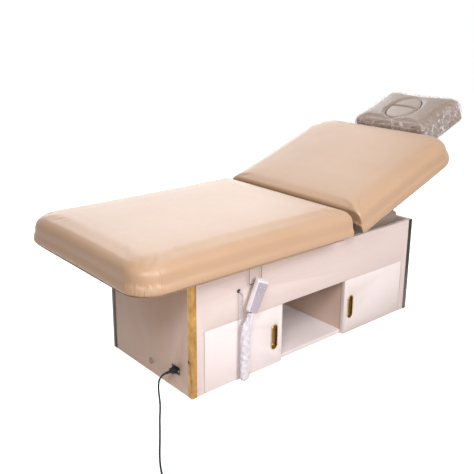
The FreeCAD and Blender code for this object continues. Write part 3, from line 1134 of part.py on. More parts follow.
face_hole = oval("face_hole", "0", "back_lift - head_board", "head_thickness + 2 * head_board")
head_blank = board_plate("headrest_board_blank", f"{HEAD_NEAR} + board_inset", f"{HEAD_FAR} - board_inset",
                         "head_half - board_inset", "back_lift", "head_board", "head_near_corner",
                         "head_corner - board_inset")
headrest_board = cut("headrest_board_level", head_blank, [face_hole])
doc.recompute()
head_solid = cushion(value(HEAD_NEAR), value(HEAD_FAR), value("head_half"), value("back_lift"),
                     value("head_thickness"), value("head_near_corner"), value("head_corner"),
                     value("head_near_edge"), value("head_edge"), value("head_edge"),
                     (value("gap_draw"), value("pad_draw")))
head_form = form("headrest_cushion_level", head_solid.cut([head_blank.Shape, face_hole.Shape]))
keep("headrest_board", raise_back("headrest_board", [headrest_board]))
keep("headrest_cushion", raise_back("headrest_cushion", [head_form]))

PLUG_TOP = "(back_lift + head_thickness - plug_sink)"
plug_blank = oval("plug_blank", "plug_gap", f"{PLUG_TOP} - plug_depth", "plug_depth")
slit = block("plug_slit_cutter", around(f"{HEAD_NEAR} + hole_along + plug_slit_along", "plug_slit / 2"),
             around("bed_shift", "hole_wide"), (f"{PLUG_TOP} - plug_slit_depth", f"{PLUG_TOP} + plug_slit_depth"))
keep("face_plug", raise_back("face_plug", [cut("face_plug_level", plug_blank, [slit])]))

# Handset, drawn upright from the middle of its top, then hung leaning on the wire hanger.
HANDSET_FRONT = "(-handset_depth / 2)"
HOOK_NEAR = "(handset_y - hanger_y + hanger_radius + hook_play)"
handset_outline = [("handset_taper / 2 - handset_width / 2", "-handset_length"),
                   ("handset_width / 2 - handset_taper / 2", "-handset_length"),
                   ("handset_width / 2", "0"), ("-handset_width / 2", "0")]
casing = plate("handset_casing", "XZ_Plane", [handset_outline], "handset_depth", HANDSET_FRONT)
round_edges(casing, "corners", "handset_corner", "y", lambda middle: True)
hook_bridge = block("hook_bridge", around("0", "hook_width / 2"), ("0", f"{HOOK_NEAR} + hook_wall"),
                    ("-hook_drop", "hook_wall - hook_drop"))
hook_leg = block("hook_leg", around("0", "hook_width / 2"), (HOOK_NEAR, f"{HOOK_NEAR} + hook_wall"),
                 ("-hook_drop - hook_length", "hook_wall - hook_drop"))
BUTTONS = {"button_bed_up": (-1, 0), "button_bed_down": (-1, 1), "button_back_up": (1, 0), "button_back_down": (1, 1)}
HANDSET_Y = f"({FRONT} - handset_y)"
HANGER_Y = f"({FRONT} - hanger_y)"
HANDSET_PLACE = ("handset_x", HANDSET_Y, "handset_z")
wells, buttons = [], {}
for name, (column_side, row_index) in BUTTONS.items():
    across = f"{column_side} * button_side"
    up = f"-(button_first + {row_index} * button_pitch)"
    wells.append(block(f"{name}_well", around(across, "button_width / 2 + button_fit"),
                       (f"{HANDSET_FRONT} - button_sunk", f"{HANDSET_FRONT} + button_sunk + 2 * button_travel"),
                       around(up, "button_height / 2 + button_fit")))
    buttons[name] = block(f"{name}_upright", around(across, "button_width / 2"),
                          (f"{HANDSET_FRONT} - button_proud", f"{HANDSET_FRONT} + button_sunk"),
                          around(up, "button_height / 2"))
handset = cut("handset_upright", fuse("handset_blank", [casing, hook_bridge, hook_leg]), wells)
keep("handset", lean("handset", [handset], Vector(0, 1, 0), "handset_lean", HANDSET_PLACE))
for name, button in buttons.items():
    keep(name, lean(name, [button], Vector(0, 1, 0), "handset_lean", HANDSET_PLACE))

hanger_top = value("bed_bottom - hanger_foot")
hanger_points = [(value(x), value(HANGER_Y), z) for x, z in (
    ("hanger_left", hanger_top), ("hanger_left", value("hanger_bar_z")), ("hanger_right", value("hanger_bar_z")),
    ("hanger_right", hanger_top))]
hanger_path, _ = bisected_path(hanger_points, value("hanger_bend"))
hanger_feet = [Part.makeCylinder(value("hanger_foot_radius"), value("hanger_foot"),
                                 Vector(value(x), value(HANGER_Y), hanger_top))
               for x in ("hanger_left", "hanger_right")]
keep("handset_hanger", form("handset_hanger", tube(hanger_path, value("2 * hanger_radius")).fuse(hanger_feet)))

# Curly handset cord: its middle line leaves the grommet, hangs to the floor, turns and rises to the handset.
LEAN = math.radians(value("handset_lean"))
HANDSET_FOOT = Vector(value("handset_x") - value("handset_length") * math.sin(LEAN), value(HANDSET_Y),
                      value("handset_z") - value("handset_length") * math.cos(LEAN))
EXIT = Vector(value("grommet_x"), value(f"{FRONT} - grommet_flange"), value("grommet_z"))
first_y = EXIT.y - value("curl_exit_lead + curl_exit_radius")
spacing = value("2 * curl_turn_radius")
second_x = EXIT.x + math.sqrt(spacing ** 2 - (HANDSET_FOOT.y - first_y) ** 2)
turn_axis = Vector(second_x - EXIT.x, HANDSET_FOOT.y - first_y, 0).normalize().cross(Vector(0, 0, 1))
top_bend = value("curl_top_radius")
top_lead = (HANDSET_FOOT.x - second_x - top_bend * (1 - math.cos(LEAN))) / math.sin(LEAN)
bend_start = HANDSET_FOOT.z - top_lead * math.cos(LEAN) - top_bend * math.sin(LEAN)
CORD_LINE = [
    ("line", value("curl_exit_lead")),
    ("arc", value("curl_exit_radius"), Vector(1, 0, 0), QUARTER_TURN),
    ("line", EXIT.z - value("curl_exit_radius") - value("curl_low")),
    ("arc", value("curl_turn_radius"), turn_axis, HALF_TURN),
    ("line", bend_start - value("curl_low")),
    ("arc", top_bend, Vector(0, 1, 0), value("handset_lean")),
    ("line", top_lead),
]


def line_frame(line, start, heading, normal, station):
    """Point, heading and carried normal at a distance along a middle line of lines and arcs."""
    point, heading, normal = Vector(start), Vector(heading), Vector(normal)
    for piece in line:
        span = piece[1] if piece[0] == "line" else piece[1] * math.radians(piece[3])
        part_way = min(max(station, 0), span)
        if piece[0] == "line":
            point = point + heading * part_way
        else:
            _, radius, axis, _ = piece
            centre = point + axis.cross(heading) * radius
            turn = Rotation(axis, math.degrees(part_way / radius))
            point = centre + turn.multVec(point - centre)
            heading, normal = turn.multVec(heading), turn.multVec(normal)
        station -= part_way
        if station <= 0:
            break
    return point, heading, normal


cord_line_length = sum(p[1] if p[0] == "line" else p[1] * math.radians(p[3]) for p in CORD_LINE)
plain_end = value("curl_end")
curled = cord_line_length - 2 * plain_end
CURLS = round(curled / value("curl_pitch"))


def curl_point(turned):
    station = plain_end + curled * turned / CURLS
    point, heading, normal = line_frame(CORD_LINE, EXIT, Vector(0, -1, 0), Vector(1, 0, 0), station)
    ramp = min(turned, CURLS - turned, 1)
    radius = value("curl_radius") * max(ramp, 0)
    turn = Rotation(heading, 360 * turned)
    return point + turn.multVec(normal) * radius


end_point, end_heading, _ = line_frame(CORD_LINE, EXIT, Vector(0, -1, 0), Vector(1, 0, 0), cord_line_length)
print("cord line ends", [round(n, 3) for n in end_point], "handset foot", [round(n, 3) for n in HANDSET_FOOT])
curl_places = headings(curl_point, [n / 4 for n in range(4 * CURLS + 1)], 0.01)
curl_places[0] = (curl_point(0), Vector(0, -1, 0))
curl_places[-1] = (curl_point(CURLS), end_heading)
curl_path = wound_path(curl_places, EXIT, end_point)
print(f"{CURLS} curls, least gap {least_gap(curl_path, value('curl_wire'), 5 * value('curl_wire')):.2f}")
keep("handset_cord", form("handset_cord", tube(curl_path, value("curl_wire"))))

doc.recompute()
for name, obj in parts.items():
    if "Invalid" in obj.State or "Error" in obj.State or obj.Shape.isNull() or not obj.Shape.isValid():
        raise RuntimeError(f"{name} failed: {obj.State}")
for obj in doc.Objects:
    if "Invalid" in obj.State or "Error" in obj.State:
        raise RuntimeError(f"{obj.Name} failed: {obj.State}")
os.makedirs("parts", exist_ok=True)
for name, obj in parts.items():
    obj.Shape.exportStep(f"parts/{name}.step")
print(len(parts), "pieces")
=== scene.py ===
# %% [markdown]
# # A spa bed on a cabinet base
#
# This bed is a padded table in three sections on a low cabinet. The shape and the joints come
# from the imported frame, which this file loads and never changes. What is made here is what a
# buyer sees and touches: stretched covers, veneer-like boards, polished trims, moulded plastic
# and cords. All lengths are in metres, X runs from the foot end to the head end, and the side
# with the doors faces -Y.

import math

import bmesh
import bpy
import numpy as np
from mathutils import Matrix, Vector
from mathutils.bvhtree import BVHTree


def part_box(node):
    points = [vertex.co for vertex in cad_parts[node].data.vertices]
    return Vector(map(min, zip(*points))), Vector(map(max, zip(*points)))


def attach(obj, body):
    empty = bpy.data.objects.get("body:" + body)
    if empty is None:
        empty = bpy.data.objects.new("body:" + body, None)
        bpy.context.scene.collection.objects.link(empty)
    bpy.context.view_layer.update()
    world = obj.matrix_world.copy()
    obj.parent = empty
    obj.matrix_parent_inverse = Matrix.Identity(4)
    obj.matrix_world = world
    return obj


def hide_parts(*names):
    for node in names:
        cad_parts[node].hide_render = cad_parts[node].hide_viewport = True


def put(name, data):
    """A new object in the scene."""
    obj = bpy.data.objects.new(name, data)
    bpy.context.scene.collection.objects.link(obj)
    return obj


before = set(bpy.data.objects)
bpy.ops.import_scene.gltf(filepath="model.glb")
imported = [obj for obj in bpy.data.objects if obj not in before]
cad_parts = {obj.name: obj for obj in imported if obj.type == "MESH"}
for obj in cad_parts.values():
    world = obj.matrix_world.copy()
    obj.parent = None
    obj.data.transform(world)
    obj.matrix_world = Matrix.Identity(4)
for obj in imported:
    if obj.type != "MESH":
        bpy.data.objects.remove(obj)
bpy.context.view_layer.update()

# %% [markdown]
# # The camera
#
# The camera is the one that the photograph was taken with, worked out from the cabinet's edges.
# A camera looks along its own -Z, so its turn is built from three directions: back from the
# target, right, and up. A small roll levels the picture as in the photograph.

# %% Place the camera
FRAME_PIXELS = 474
FOCAL_PIXELS = 693.2
SENSOR_WIDTH = 36.0
AXIS_ROW = 213.7
AZIMUTH = math.radians(-40.6)
ELEVATION = math.radians(16.6)
ROLL = math.radians(0.4)
DISTANCE = 3.1194
TARGET = Vector((-0.065, 0.1561, 0.5174))

back_way = Vector((math.sin(AZIMUTH) * math.cos(ELEVATION), -math.cos(AZIMUTH) * math.cos(ELEVATION),
                   math.sin(ELEVATION)))
right_way = (-back_way).cross(Vector((0, 0, 1))).normalized()
up_way = right_way.cross(-back_way)
rolled_right = right_way * math.cos(ROLL) + up_way * math.sin(ROLL)
rolled_up = up_way * math.cos(ROLL) - right_way * math.sin(ROLL)
camera_data = bpy.data.cameras.new("camera")
camera_data.sensor_width = SENSOR_WIDTH
camera_data.lens = FOCAL_PIXELS / FRAME_PIXELS * SENSOR_WIDTH
camera_data.shift_y = (AXIS_ROW - FRAME_PIXELS / 2) / FRAME_PIXELS
camera = put("camera", camera_data)
turn = Matrix((rolled_right, rolled_up, back_way)).transposed()
camera.matrix_world = Matrix.Translation(TARGET + back_way * DISTANCE) @ turn.to_4x4()
bpy.context.scene.camera = camera
print("lens", round(camera_data.lens, 2), "mm")

# %% [markdown]
# # Small helpers
#
# Every piece is a mesh in the frame's own coordinates, so its object stays at the origin. A
# material starts from the Principled shader, and nodes are added in one line each: a value that
# is itself a socket is linked, and any other value is typed into the socket.


# %% Meshes and nodes
def piece(name, mesh, body, material=None, stands_for=()):
    """Show a mesh as a piece that rides on a body."""
    obj = put(name, mesh)
    if material:
        mesh.materials.clear()
        mesh.materials.append(material)
    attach(obj, body)
    if stands_for:
        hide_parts(*stands_for)
    return obj


def shade(mesh, smooth=True):
    mesh.polygons.foreach_set("use_smooth", [smooth] * len(mesh.polygons))
    mesh.update()


def new_mesh(name, points, faces, smooth=True):
    mesh = bpy.data.meshes.new(name)
    mesh.from_pydata([tuple(p) for p in points], [], faces)
    shade(mesh, smooth)
    return mesh


def reworked(mesh, change):
    """Change a mesh by a function of its bmesh."""
    work = bmesh.new()
    work.from_mesh(mesh)
    change(work)
    work.to_mesh(mesh)
    work.free()
    mesh.update()
    return mesh


def merge_and_turn(work):
    """Merge doubles and turn every face outwards."""
    bmesh.ops.remove_doubles(work, verts=work.verts, dist=1e-6)
    bmesh.ops.recalc_face_normals(work, faces=work.faces)


def add_node(tree, kind, inputs=None, **settings):
    made = tree.nodes.new(kind)
    for key, setting in settings.items():
        setattr(made, key, setting)
    for key, given in (inputs or {}).items():
        if isinstance(given, bpy.types.NodeSocket):
            tree.links.new(given, made.inputs[key])
        else:
            made.inputs[key].default_value = given
    return made


def new_material(name, roughness, metallic=0.0, **sockets):
    """A Principled material with plain numbers on its own sockets."""
    made = bpy.data.materials.new(name)
    made.use_nodes = True
    tree = made.node_tree
    shader = tree.nodes["Principled BSDF"]
    shader.inputs["Roughness"].default_value = roughness
    shader.inputs["Metallic"].default_value = metallic
    for key, number in sockets.items():
        shader.inputs[key.replace("_", " ")].default_value = number
    return made, tree, shader


def place_on(tree, scale=(1, 1, 1), turned=(0, 0, 0)):
    """Object coordinates, scaled and turned for a pattern."""
    where = add_node(tree, "ShaderNodeTexCoord").outputs["Object"]
    inputs = {"Vector": where, "Scale": scale, "Rotation": turned}
    return add_node(tree, "ShaderNodeMapping", inputs).outputs[0]


def noise(tree, where, scale, detail=3.0, rough=0.5, stretch=0.0):
    return add_node(tree, "ShaderNodeTexNoise", {"Vector": where, "Scale": scale, "Detail": detail,
                                                 "Roughness": rough, "Distortion": stretch}).outputs["Fac"]


def blend_colours(tree, factor, low_colour, high_colour, low=0.35, high=0.65):
    ramp = add_node(tree, "ShaderNodeValToRGB", {"Fac": factor})
    for stop, place, colour in zip(ramp.color_ramp.elements, (low, high), (low_colour, high_colour)):
        stop.position = place
        stop.color = (*colour, 1)
    return ramp.outputs["Color"]


def spread_of(tree, factor, low, high):
    return add_node(tree, "ShaderNodeMapRange", {"Value": factor, "To Min": low, "To Max": high}).outputs[0]


def bump(tree, height, distance, strength=1.0, under=None):
    inputs = {"Height": height, "Distance": distance, "Strength": strength}
    if under:
        inputs["Normal"] = under
    return add_node(tree, "ShaderNodeBump", inputs).outputs[0]


def mixed(tree, share, first, second):
    """The first colour with a share of the second over it."""
    inputs = {0: share, 6: first, 7: (*second, 1)}
    return add_node(tree, "ShaderNodeMix", inputs, data_type="RGBA").outputs[2]


def join(tree, shader, **links):
    for key, socket in links.items():
        tree.links.new(socket, shader.inputs[key.replace("_", " ")])


# %% [markdown]
# # The power cord
#
# The real cord is about 1.8 m of 7 mm rubber cable. It leaves the connector level, falls to the
# floor and runs out past the foot end, and the rest is put away in a coil. A NURBS curve suits a
# cable: its control points are the route, and the line between them is smooth by itself. The
# coil's turns are more points of the same curve: it spirals in on the floor, climbs once, and
# spirals out on top.

# %% Lay the power cord
CORD_WIDTH = 0.007
CORD_HEIGHT = CORD_WIDTH / 2
CORD_ROUTE = [
    (-0.6885, -0.176, 0.087), (-0.7045, -0.176, 0.087), (-0.720, -0.1776, 0.0815), (-0.7325, -0.1818, 0.071),
    (-0.739, -0.1875, 0.0565), (-0.7415, -0.192, 0.033), (-0.7445, -0.1995, 0.019), (-0.750, -0.2105, 0.0088),
    (-0.7575, -0.2235, CORD_HEIGHT), (-0.7695, -0.2415, CORD_HEIGHT), (-0.7865, -0.266, CORD_HEIGHT),
    (-0.810, -0.298, CORD_HEIGHT), (-0.837, -0.338, CORD_HEIGHT), (-0.866, -0.381, CORD_HEIGHT),
    (-0.898, -0.427, CORD_HEIGHT), (-0.929, -0.471, CORD_HEIGHT), (-0.958, -0.516, CORD_HEIGHT),
    (-0.983, -0.5625, CORD_HEIGHT),
]
COIL_CENTRE = Vector((-1.052, -0.597))
COIL_INNER = 0.028
COIL_PITCH = 0.0077
COIL_TURNS = 5
COIL_HEADING = math.radians(-114.8)
COIL_STEPS = 16
REVERSAL = 2.5
CLIMB_START = 2.25
CLIMB_TURNS = 0.5
PLUG_LEAD = 0.028


def set_out(steps):
    """A smooth curve runs inside its control points; moved out by this, it lies on its circle."""
    return 1 / (0.75 + 0.25 * math.cos(2 * math.pi / steps))


def coil_place(turned):
    """A control point of the coil."""
    radius = (COIL_INNER + COIL_PITCH * abs(turned - REVERSAL)) * set_out(COIL_STEPS)
    climbed = min(max((turned - CLIMB_START) / CLIMB_TURNS, 0), 1)
    angle = COIL_HEADING + math.pi / 2 - 2 * math.pi * turned
    return (COIL_CENTRE.x + radius * math.cos(angle), COIL_CENTRE.y + radius * math.sin(angle),
            CORD_HEIGHT + COIL_PITCH * climbed)


def nurbs(name, points, radius=0.0, rings=6):
    """A smooth open curve through its control points' runs; with a radius it is a round cord."""
    curve = bpy.data.curves.new(name, "CURVE")
    curve.dimensions = "3D"
    curve.resolution_u = 8
    curve.bevel_depth = radius
    curve.bevel_resolution = rings
    curve.use_fill_caps = True
    spline = curve.splines.new("NURBS")
    spline.points.add(len(points) - 1)
    for point, place in zip(spline.points, points):
        point.co = (*place, 1)
    spline.order_u = 3
    spline.use_endpoint_u = True
    return curve


def curve_points(curve):
    """The points that a bevel-less curve gives."""
    line = curve.copy()
    line.bevel_depth = 0
    carrier = bpy.data.objects.new("line", line)
    mesh = bpy.data.meshes.new_from_object(carrier)
    points = [v.co.copy() for v in mesh.vertices]
    bpy.data.objects.remove(carrier)
    bpy.data.meshes.remove(mesh)
    return points


coil_ahead = Vector((math.cos(COIL_HEADING), math.sin(COIL_HEADING), 0))
coil_points = [coil_place(step / COIL_STEPS) for step in range(COIL_TURNS * COIL_STEPS + 1)]
coil_out = Vector(coil_points[-1])
lead_points = [tuple(coil_out + coil_ahead * share * PLUG_LEAD) for share in (0.35, 0.7, 1)]
power_curve = nurbs("power_cord", CORD_ROUTE + coil_points + lead_points, CORD_WIDTH / 2)


def along(points):
    """Distances from the start of a line of points."""
    reached = [0.0]
    for start, end in zip(points, points[1:]):
        reached.append(reached[-1] + (end - start).length)
    return reached


def show_cord(name, curve, material, slot, *nodes):
    """Show a curve as a cord on the cabinet, in place of CAD nodes."""
    cord = put(name, curve)
    curve.materials.append(material)
    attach(cord, "cabinet")
    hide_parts(*nodes)
    return cord


power_line = curve_points(power_curve)
print(f"power cord {along(power_line)[-1]:.3f} m")

# %% [markdown]
# # Rings, lofts and sweeps
#
# Moulded bodies such as plugs and handsets are lofts: closed rings of points, one behind the
# other, joined by quads and closed at both ends. A sweep is a loft whose rings follow a line.


# %% Loft and sweep
def rounded_ring(half_across, half_up, corner, steps=5):
    """A rectangle with round corners as points (across, up), counted round its middle."""
    ring = []
    for quarter, (side, rise) in enumerate(((1, 1), (-1, 1), (-1, -1), (1, -1))):
        for step in range(steps + 1):
            angle = math.radians(90 * (quarter + step / steps))
            ring.append((side * (half_across - corner) + corner * math.cos(angle),
                         rise * (half_up - corner) + corner * math.sin(angle)))
    return ring


def loft(name, rings, smooth=True, closed=False):
    """Quads between rings of equal counts, with a face over each end unless the rings go round."""
    count = len(rings[0])
    points = [p for ring in rings for p in ring]
    faces = []
    last = len(rings) if closed else len(rings) - 1
    for level in range(last):
        here, above = level * count, (level + 1) % len(rings) * count
        for step in range(count):
            after = (step + 1) % count
            faces.append((here + step, here + after, above + after, above + step))
    if not closed:
        faces.append(tuple(reversed(range(count))))
        faces.append(tuple((len(rings) - 1) * count + step for step in range(count)))
    return reworked(new_mesh(name, points, faces, smooth), merge_and_turn)


def loft_piece(name, rings, body, material, stands_for=(), smooth=True):
    return piece(name, loft(name, rings, smooth), body, material, stands_for)


def carried_frames(points, start_side):
    """Each point of a line with its heading and a side carried along without twist."""
    frames, side = [], Vector(start_side)
    for index, point in enumerate(points):
        heading = points[min(index + 1, len(points) - 1)] - points[max(index - 1, 0)]
        heading.normalize()
        side = (side - heading * side.dot(heading)).normalized()
        frames.append((point, heading, side, heading.cross(side)))
    return frames


def sweep(name, frames, sections):
    """A loft along frames; each section is a ring of (side, up) places."""
    rings = [[point + side * a + up * b for a, b in section]
             for (point, _, side, up), section in zip(frames, sections)]
    return loft(name, rings)


def part_of_line(points, start, end, count):
    """Points evenly spaced between two distances along a line."""
    reached = along(points)
    places, index = [], 0
    for step in range(count):
        wanted = start + (end - start) * step / (count - 1)
        while index < len(points) - 2 and reached[index + 1] < wanted:
            index += 1
        share = (wanted - reached[index]) / max(reached[index + 1] - reached[index], 1e-9)
        places.append(points[index].lerp(points[index + 1], share))
    return places


# %% [markdown]
# # Copies with Geometry Nodes
#
# Ribs, stitches, staples and screws repeat. Each is one small mesh that a node tree sets on many
# points. The first tree walks along a line and turns each copy with it. The second sets a copy on
# every point of a mesh and turns it by an attribute. Both end in real geometry with its material,
# which is then taken out as a plain mesh.


# %% Node trees for copies
def new_tree(name, inputs):
    tree = bpy.data.node_groups.new(name, "GeometryNodeTree")
    tree.interface.new_socket("Geometry", in_out="INPUT", socket_type="NodeSocketGeometry")
    for label, kind in inputs:
        tree.interface.new_socket(label, in_out="INPUT", socket_type=kind)
    tree.interface.new_socket("Geometry", in_out="OUTPUT", socket_type="NodeSocketGeometry")
    return tree, tree.nodes.new("NodeGroupInput").outputs, tree.nodes.new("NodeGroupOutput")


def finish_tree(tree, given, instances, group_out):
    real = add_node(tree, "GeometryNodeRealizeInstances", {"Geometry": instances}).outputs[0]
    painted = add_node(tree, "GeometryNodeSetMaterial", {"Geometry": real, "Material": given["Finish"]})
    tree.links.new(painted.outputs[0], group_out.inputs[0])


def turned_to(tree, axis, vector, before=None, pivot="AUTO"):
    inputs = {"Vector": vector}
    if before:
        inputs["Rotation"] = before
    return add_node(tree, "FunctionNodeAlignRotationToVector", inputs, axis=axis, pivot_axis=pivot).outputs[0]


line_tree, given, group_out = new_tree("copies_along_a_line", [
    ("Copy", "NodeSocketObject"), ("Spacing", "NodeSocketFloat"), ("Facing", "NodeSocketVector"),
    ("Finish", "NodeSocketMaterial")])
curve = add_node(line_tree, "GeometryNodeMeshToCurve", {"Mesh": given["Geometry"]}).outputs[0]
walked = add_node(line_tree, "GeometryNodeResampleCurve", {"Curve": curve, "Length": given["Spacing"]},
                  mode="LENGTH").outputs[0]
tangent = add_node(line_tree, "GeometryNodeInputTangent").outputs[0]
way = turned_to(line_tree, "Z", given["Facing"], turned_to(line_tree, "X", tangent), "X")
copy = add_node(line_tree, "GeometryNodeObjectInfo", {"Object": given["Copy"]}).outputs["Geometry"]
copies = add_node(line_tree, "GeometryNodeInstanceOnPoints",
                  {"Points": walked, "Instance": copy, "Rotation": way})
finish_tree(line_tree, given, copies.outputs[0], group_out)

point_tree, given, group_out = new_tree("copies_on_points", [
    ("Copy", "NodeSocketObject"), ("Finish", "NodeSocketMaterial")])
facing = add_node(point_tree, "GeometryNodeInputNamedAttribute", {"Name": "facing"}, data_type="FLOAT_VECTOR")
way = turned_to(point_tree, "Z", facing.outputs["Attribute"])
copy = add_node(point_tree, "GeometryNodeObjectInfo", {"Object": given["Copy"]}).outputs["Geometry"]
copies = add_node(point_tree, "GeometryNodeInstanceOnPoints",
                  {"Points": given["Geometry"], "Instance": copy, "Rotation": way})
finish_tree(point_tree, given, copies.outputs[0], group_out)


def plain_mesh(name, carrier, base):
    """The mesh that an object's modifiers make; the object and its own mesh go away."""
    shown = carrier.evaluated_get(bpy.context.evaluated_depsgraph_get())
    mesh = bpy.data.meshes.new_from_object(shown)
    bpy.data.objects.remove(carrier)
    bpy.data.meshes.remove(base)
    mesh.name = name
    return mesh


def grown(name, base, tree, values):
    """The plain mesh that a node tree makes from a base mesh."""
    carrier = put(name + "_base", base)
    modifier = carrier.modifiers.new("copies", "NODES")
    modifier.node_group = tree
    labels = {item.name: item.identifier for item in tree.interface.items_tree if item.in_out == "INPUT"}
    for label, setting in values.items():
        modifier[labels[label]] = setting
    carrier.update_tag()
    return plain_mesh(name, carrier, base)


def helper(name, mesh):
    """A small mesh to copy; it is removed once the copies are made."""
    obj = put(name, mesh)
    obj.hide_render = True
    return obj


def line_mesh(name, points, closed=False):
    count = len(points)
    edges = [(n, (n + 1) % count) for n in range(count if closed else count - 1)]
    mesh = bpy.data.meshes.new(name)
    mesh.from_pydata([tuple(p) for p in points], edges, [])
    return mesh


def copies_on(name, copy, places, material):
    """Copies of a small mesh on places (point, facing)."""
    base = bpy.data.meshes.new(name + "_places")
    base.from_pydata([tuple(p) for p, _ in places], [], [])
    facings = base.attributes.new("facing", "FLOAT_VECTOR", "POINT")
    facings.data.foreach_set("vector", [n for _, way in places for n in way])
    return grown(name, base, point_tree, {"Copy": copy, "Finish": material})


def copies_along(name, copy, points, spacing, facing, material, closed=False):
    return grown(name, line_mesh(name + "_line", points, closed), line_tree,
                 {"Copy": copy, "Spacing": spacing, "Facing": facing, "Finish": material})


def lathe(name, profile, sides=24):
    """A turned shape about Z from (radius, height) places, closed on the axis."""
    rings = [[(r * math.cos(2 * math.pi * n / sides), r * math.sin(2 * math.pi * n / sides), h)
              for n in range(sides)] for r, h in profile]
    return loft(name, rings)


# %% [markdown]
# # Rubber and plastic
#
# Cable rubber is near black with a dull bloom. Moulded plastic is smoother, with a fine spark
# texture from the mould. Both get their grain from noise at a scale of tenths of a millimetre,
# and their roughness varies a little so that highlights break up.


# %% Rubber and plastic finishes
def moulded(name, colour, lighter, roughness, grain=0.00004, scale=1800, shine=0.5):
    """Moulded plastic or rubber: mottled colour, uneven gloss and a fine spark texture."""
    made, tree, shader = new_material(name, roughness, Specular_IOR_Level=shine)
    where = place_on(tree)
    cloudy = noise(tree, where, 22, 4)
    fine = noise(tree, where, scale, 2)
    join(tree, shader, Base_Color=blend_colours(tree, cloudy, colour, lighter),
         Roughness=spread_of(tree, noise(tree, where, 90, 3), roughness - 0.08, roughness + 0.1),
         Normal=bump(tree, fine, grain))
    return made


cord_rubber = moulded("cord_rubber", (0.012, 0.012, 0.013), (0.02, 0.02, 0.021), 0.5, shine=0.2)
black_plastic = moulded("black_plastic", (0.012, 0.012, 0.013), (0.018, 0.018, 0.019), 0.38, shine=0.25)
curly_rubber = moulded("curly_rubber", (0.40, 0.38, 0.40), (0.48, 0.46, 0.48), 0.42)
handset_plastic = moulded("handset_plastic", (0.42, 0.35, 0.41), (0.47, 0.40, 0.46), 0.38)
handset_cap_plastic = moulded("handset_cap_plastic", (0.90, 0.88, 0.90), (0.93, 0.91, 0.93), 0.32)
button_plastic = moulded("button_plastic", (0.33, 0.32, 0.37), (0.37, 0.36, 0.41), 0.42)
beige_plastic = moulded("beige_plastic", (0.36, 0.25, 0.18), (0.42, 0.30, 0.22), 0.45)
control_plastic = moulded("control_plastic", (0.06, 0.062, 0.066), (0.085, 0.087, 0.092), 0.5)

# %% Connector, cord and plug
CONNECTOR_FACE = -0.6525
GRIP_END = -0.6745
INLET_Y = -0.176
INLET_Z = 0.087
NOSE_INSIDE = -0.6369
BOOT_ON_CORD = 0.012
BOOT_RINGS = 24
BOOT_RIBS = 6
RIB_HEIGHT = 0.0006
BOOT_WIDE = 0.0066
BOOT_NARROW = 0.0041
ROUND = 20


def along_x(x, half_across, half_up, corner):
    return [(x, INLET_Y + a, INLET_Z + b) for a, b in rounded_ring(half_across, half_up, corner)]


# Place along X, half width, half height, corner radius
CONNECTOR_RINGS = [
    (NOSE_INSIDE, 0.0117, 0.0077, 0.002), (CONNECTOR_FACE + 0.0005, 0.0119, 0.0079, 0.002),
    (CONNECTOR_FACE - 0.0002, 0.0136, 0.0096, 0.0032), (CONNECTOR_FACE - 0.0015, 0.014, 0.010, 0.0036),
    (-0.658, 0.014, 0.010, 0.0036), (-0.663, 0.0128, 0.0091, 0.0036), (-0.670, 0.0124, 0.0088, 0.0038),
    (-0.6735, 0.0128, 0.009, 0.004), (GRIP_END, 0.0115, 0.0078, 0.004),
]
connector = loft_piece("cord_connector_body", [along_x(*row) for row in CONNECTOR_RINGS], "cabinet",
                       black_plastic, ["cord_connector"])


def circle(radius, sides=ROUND):
    return [(radius * math.cos(2 * math.pi * n / sides), radius * math.sin(2 * math.pi * n / sides))
            for n in range(sides)]


def boot(name, lead, line, length, wide):
    """A tapered, ribbed strain relief: a straight lead from the housing, then on along the cord."""
    points = lead + part_of_line(line, 0.0005, length, BOOT_RINGS)
    reached = along(points)
    sections = []
    for place in reached:
        share = place / reached[-1]
        rib = RIB_HEIGHT * max(0, math.sin(share * math.pi * 2 * BOOT_RIBS))
        sections.append(circle(wide + (BOOT_NARROW - wide) * share + rib))
    made = sweep(name, carried_frames(points, (0, 0, 1)), sections)
    return piece(name, made, "cabinet", black_plastic)


connector_lead = [Vector((GRIP_END + 0.001 - 0.0153 * n / 16, INLET_Y, INLET_Z)) for n in range(16)]
connector_boot = boot("connector_strain_relief", connector_lead, power_line, BOOT_ON_CORD, BOOT_WIDE)

PLUG_LENGTH = 0.038
RELIEF_LENGTH = 0.014
plug_start = Vector(coil_out) + coil_ahead * PLUG_LEAD
plug_side = Vector((0, 0, 1)).cross(coil_ahead)


def on_plug(distance, half_across, half_up, corner):
    middle = plug_start + coil_ahead * (RELIEF_LENGTH + distance)
    return [middle + plug_side * a + Vector((0, 0, b))
            for a, b in rounded_ring(half_across, half_up, corner)]


# Distance from the relief, half width, half height, corner radius
PLUG_RINGS = [
    (-0.001, 0.0075, 0.0062, 0.006), (0.002, 0.010, 0.0075, 0.007), (0.012, 0.0145, 0.0095, 0.008),
    (0.024, 0.0168, 0.0108, 0.008), (PLUG_LENGTH - 0.003, 0.017, 0.0112, 0.008),
    (PLUG_LENGTH - 0.0008, 0.017, 0.0112, 0.008), (PLUG_LENGTH, 0.0162, 0.0104, 0.0075),
]
plug = loft_piece("mains_plug_body", [on_plug(*row) for row in PLUG_RINGS], "cabinet",
                  black_plastic, ["mains_plug"])
plug_lead = [plug_start + coil_ahead * (RELIEF_LENGTH - 0.001 - 0.013 * n / 12) for n in range(13)]
plug_boot = boot("plug_strain_relief", plug_lead, [plug_start, plug_start - coil_ahead * 0.014],
                 0.013, 0.0064)

power_cord = show_cord("power_cord_run", power_curve, cord_rubber, "cord_rubber", "power_cord",
                       "power_cord_coil")
print("power cord:", round(along(power_line)[-1], 3), "m, coil outside the picture")

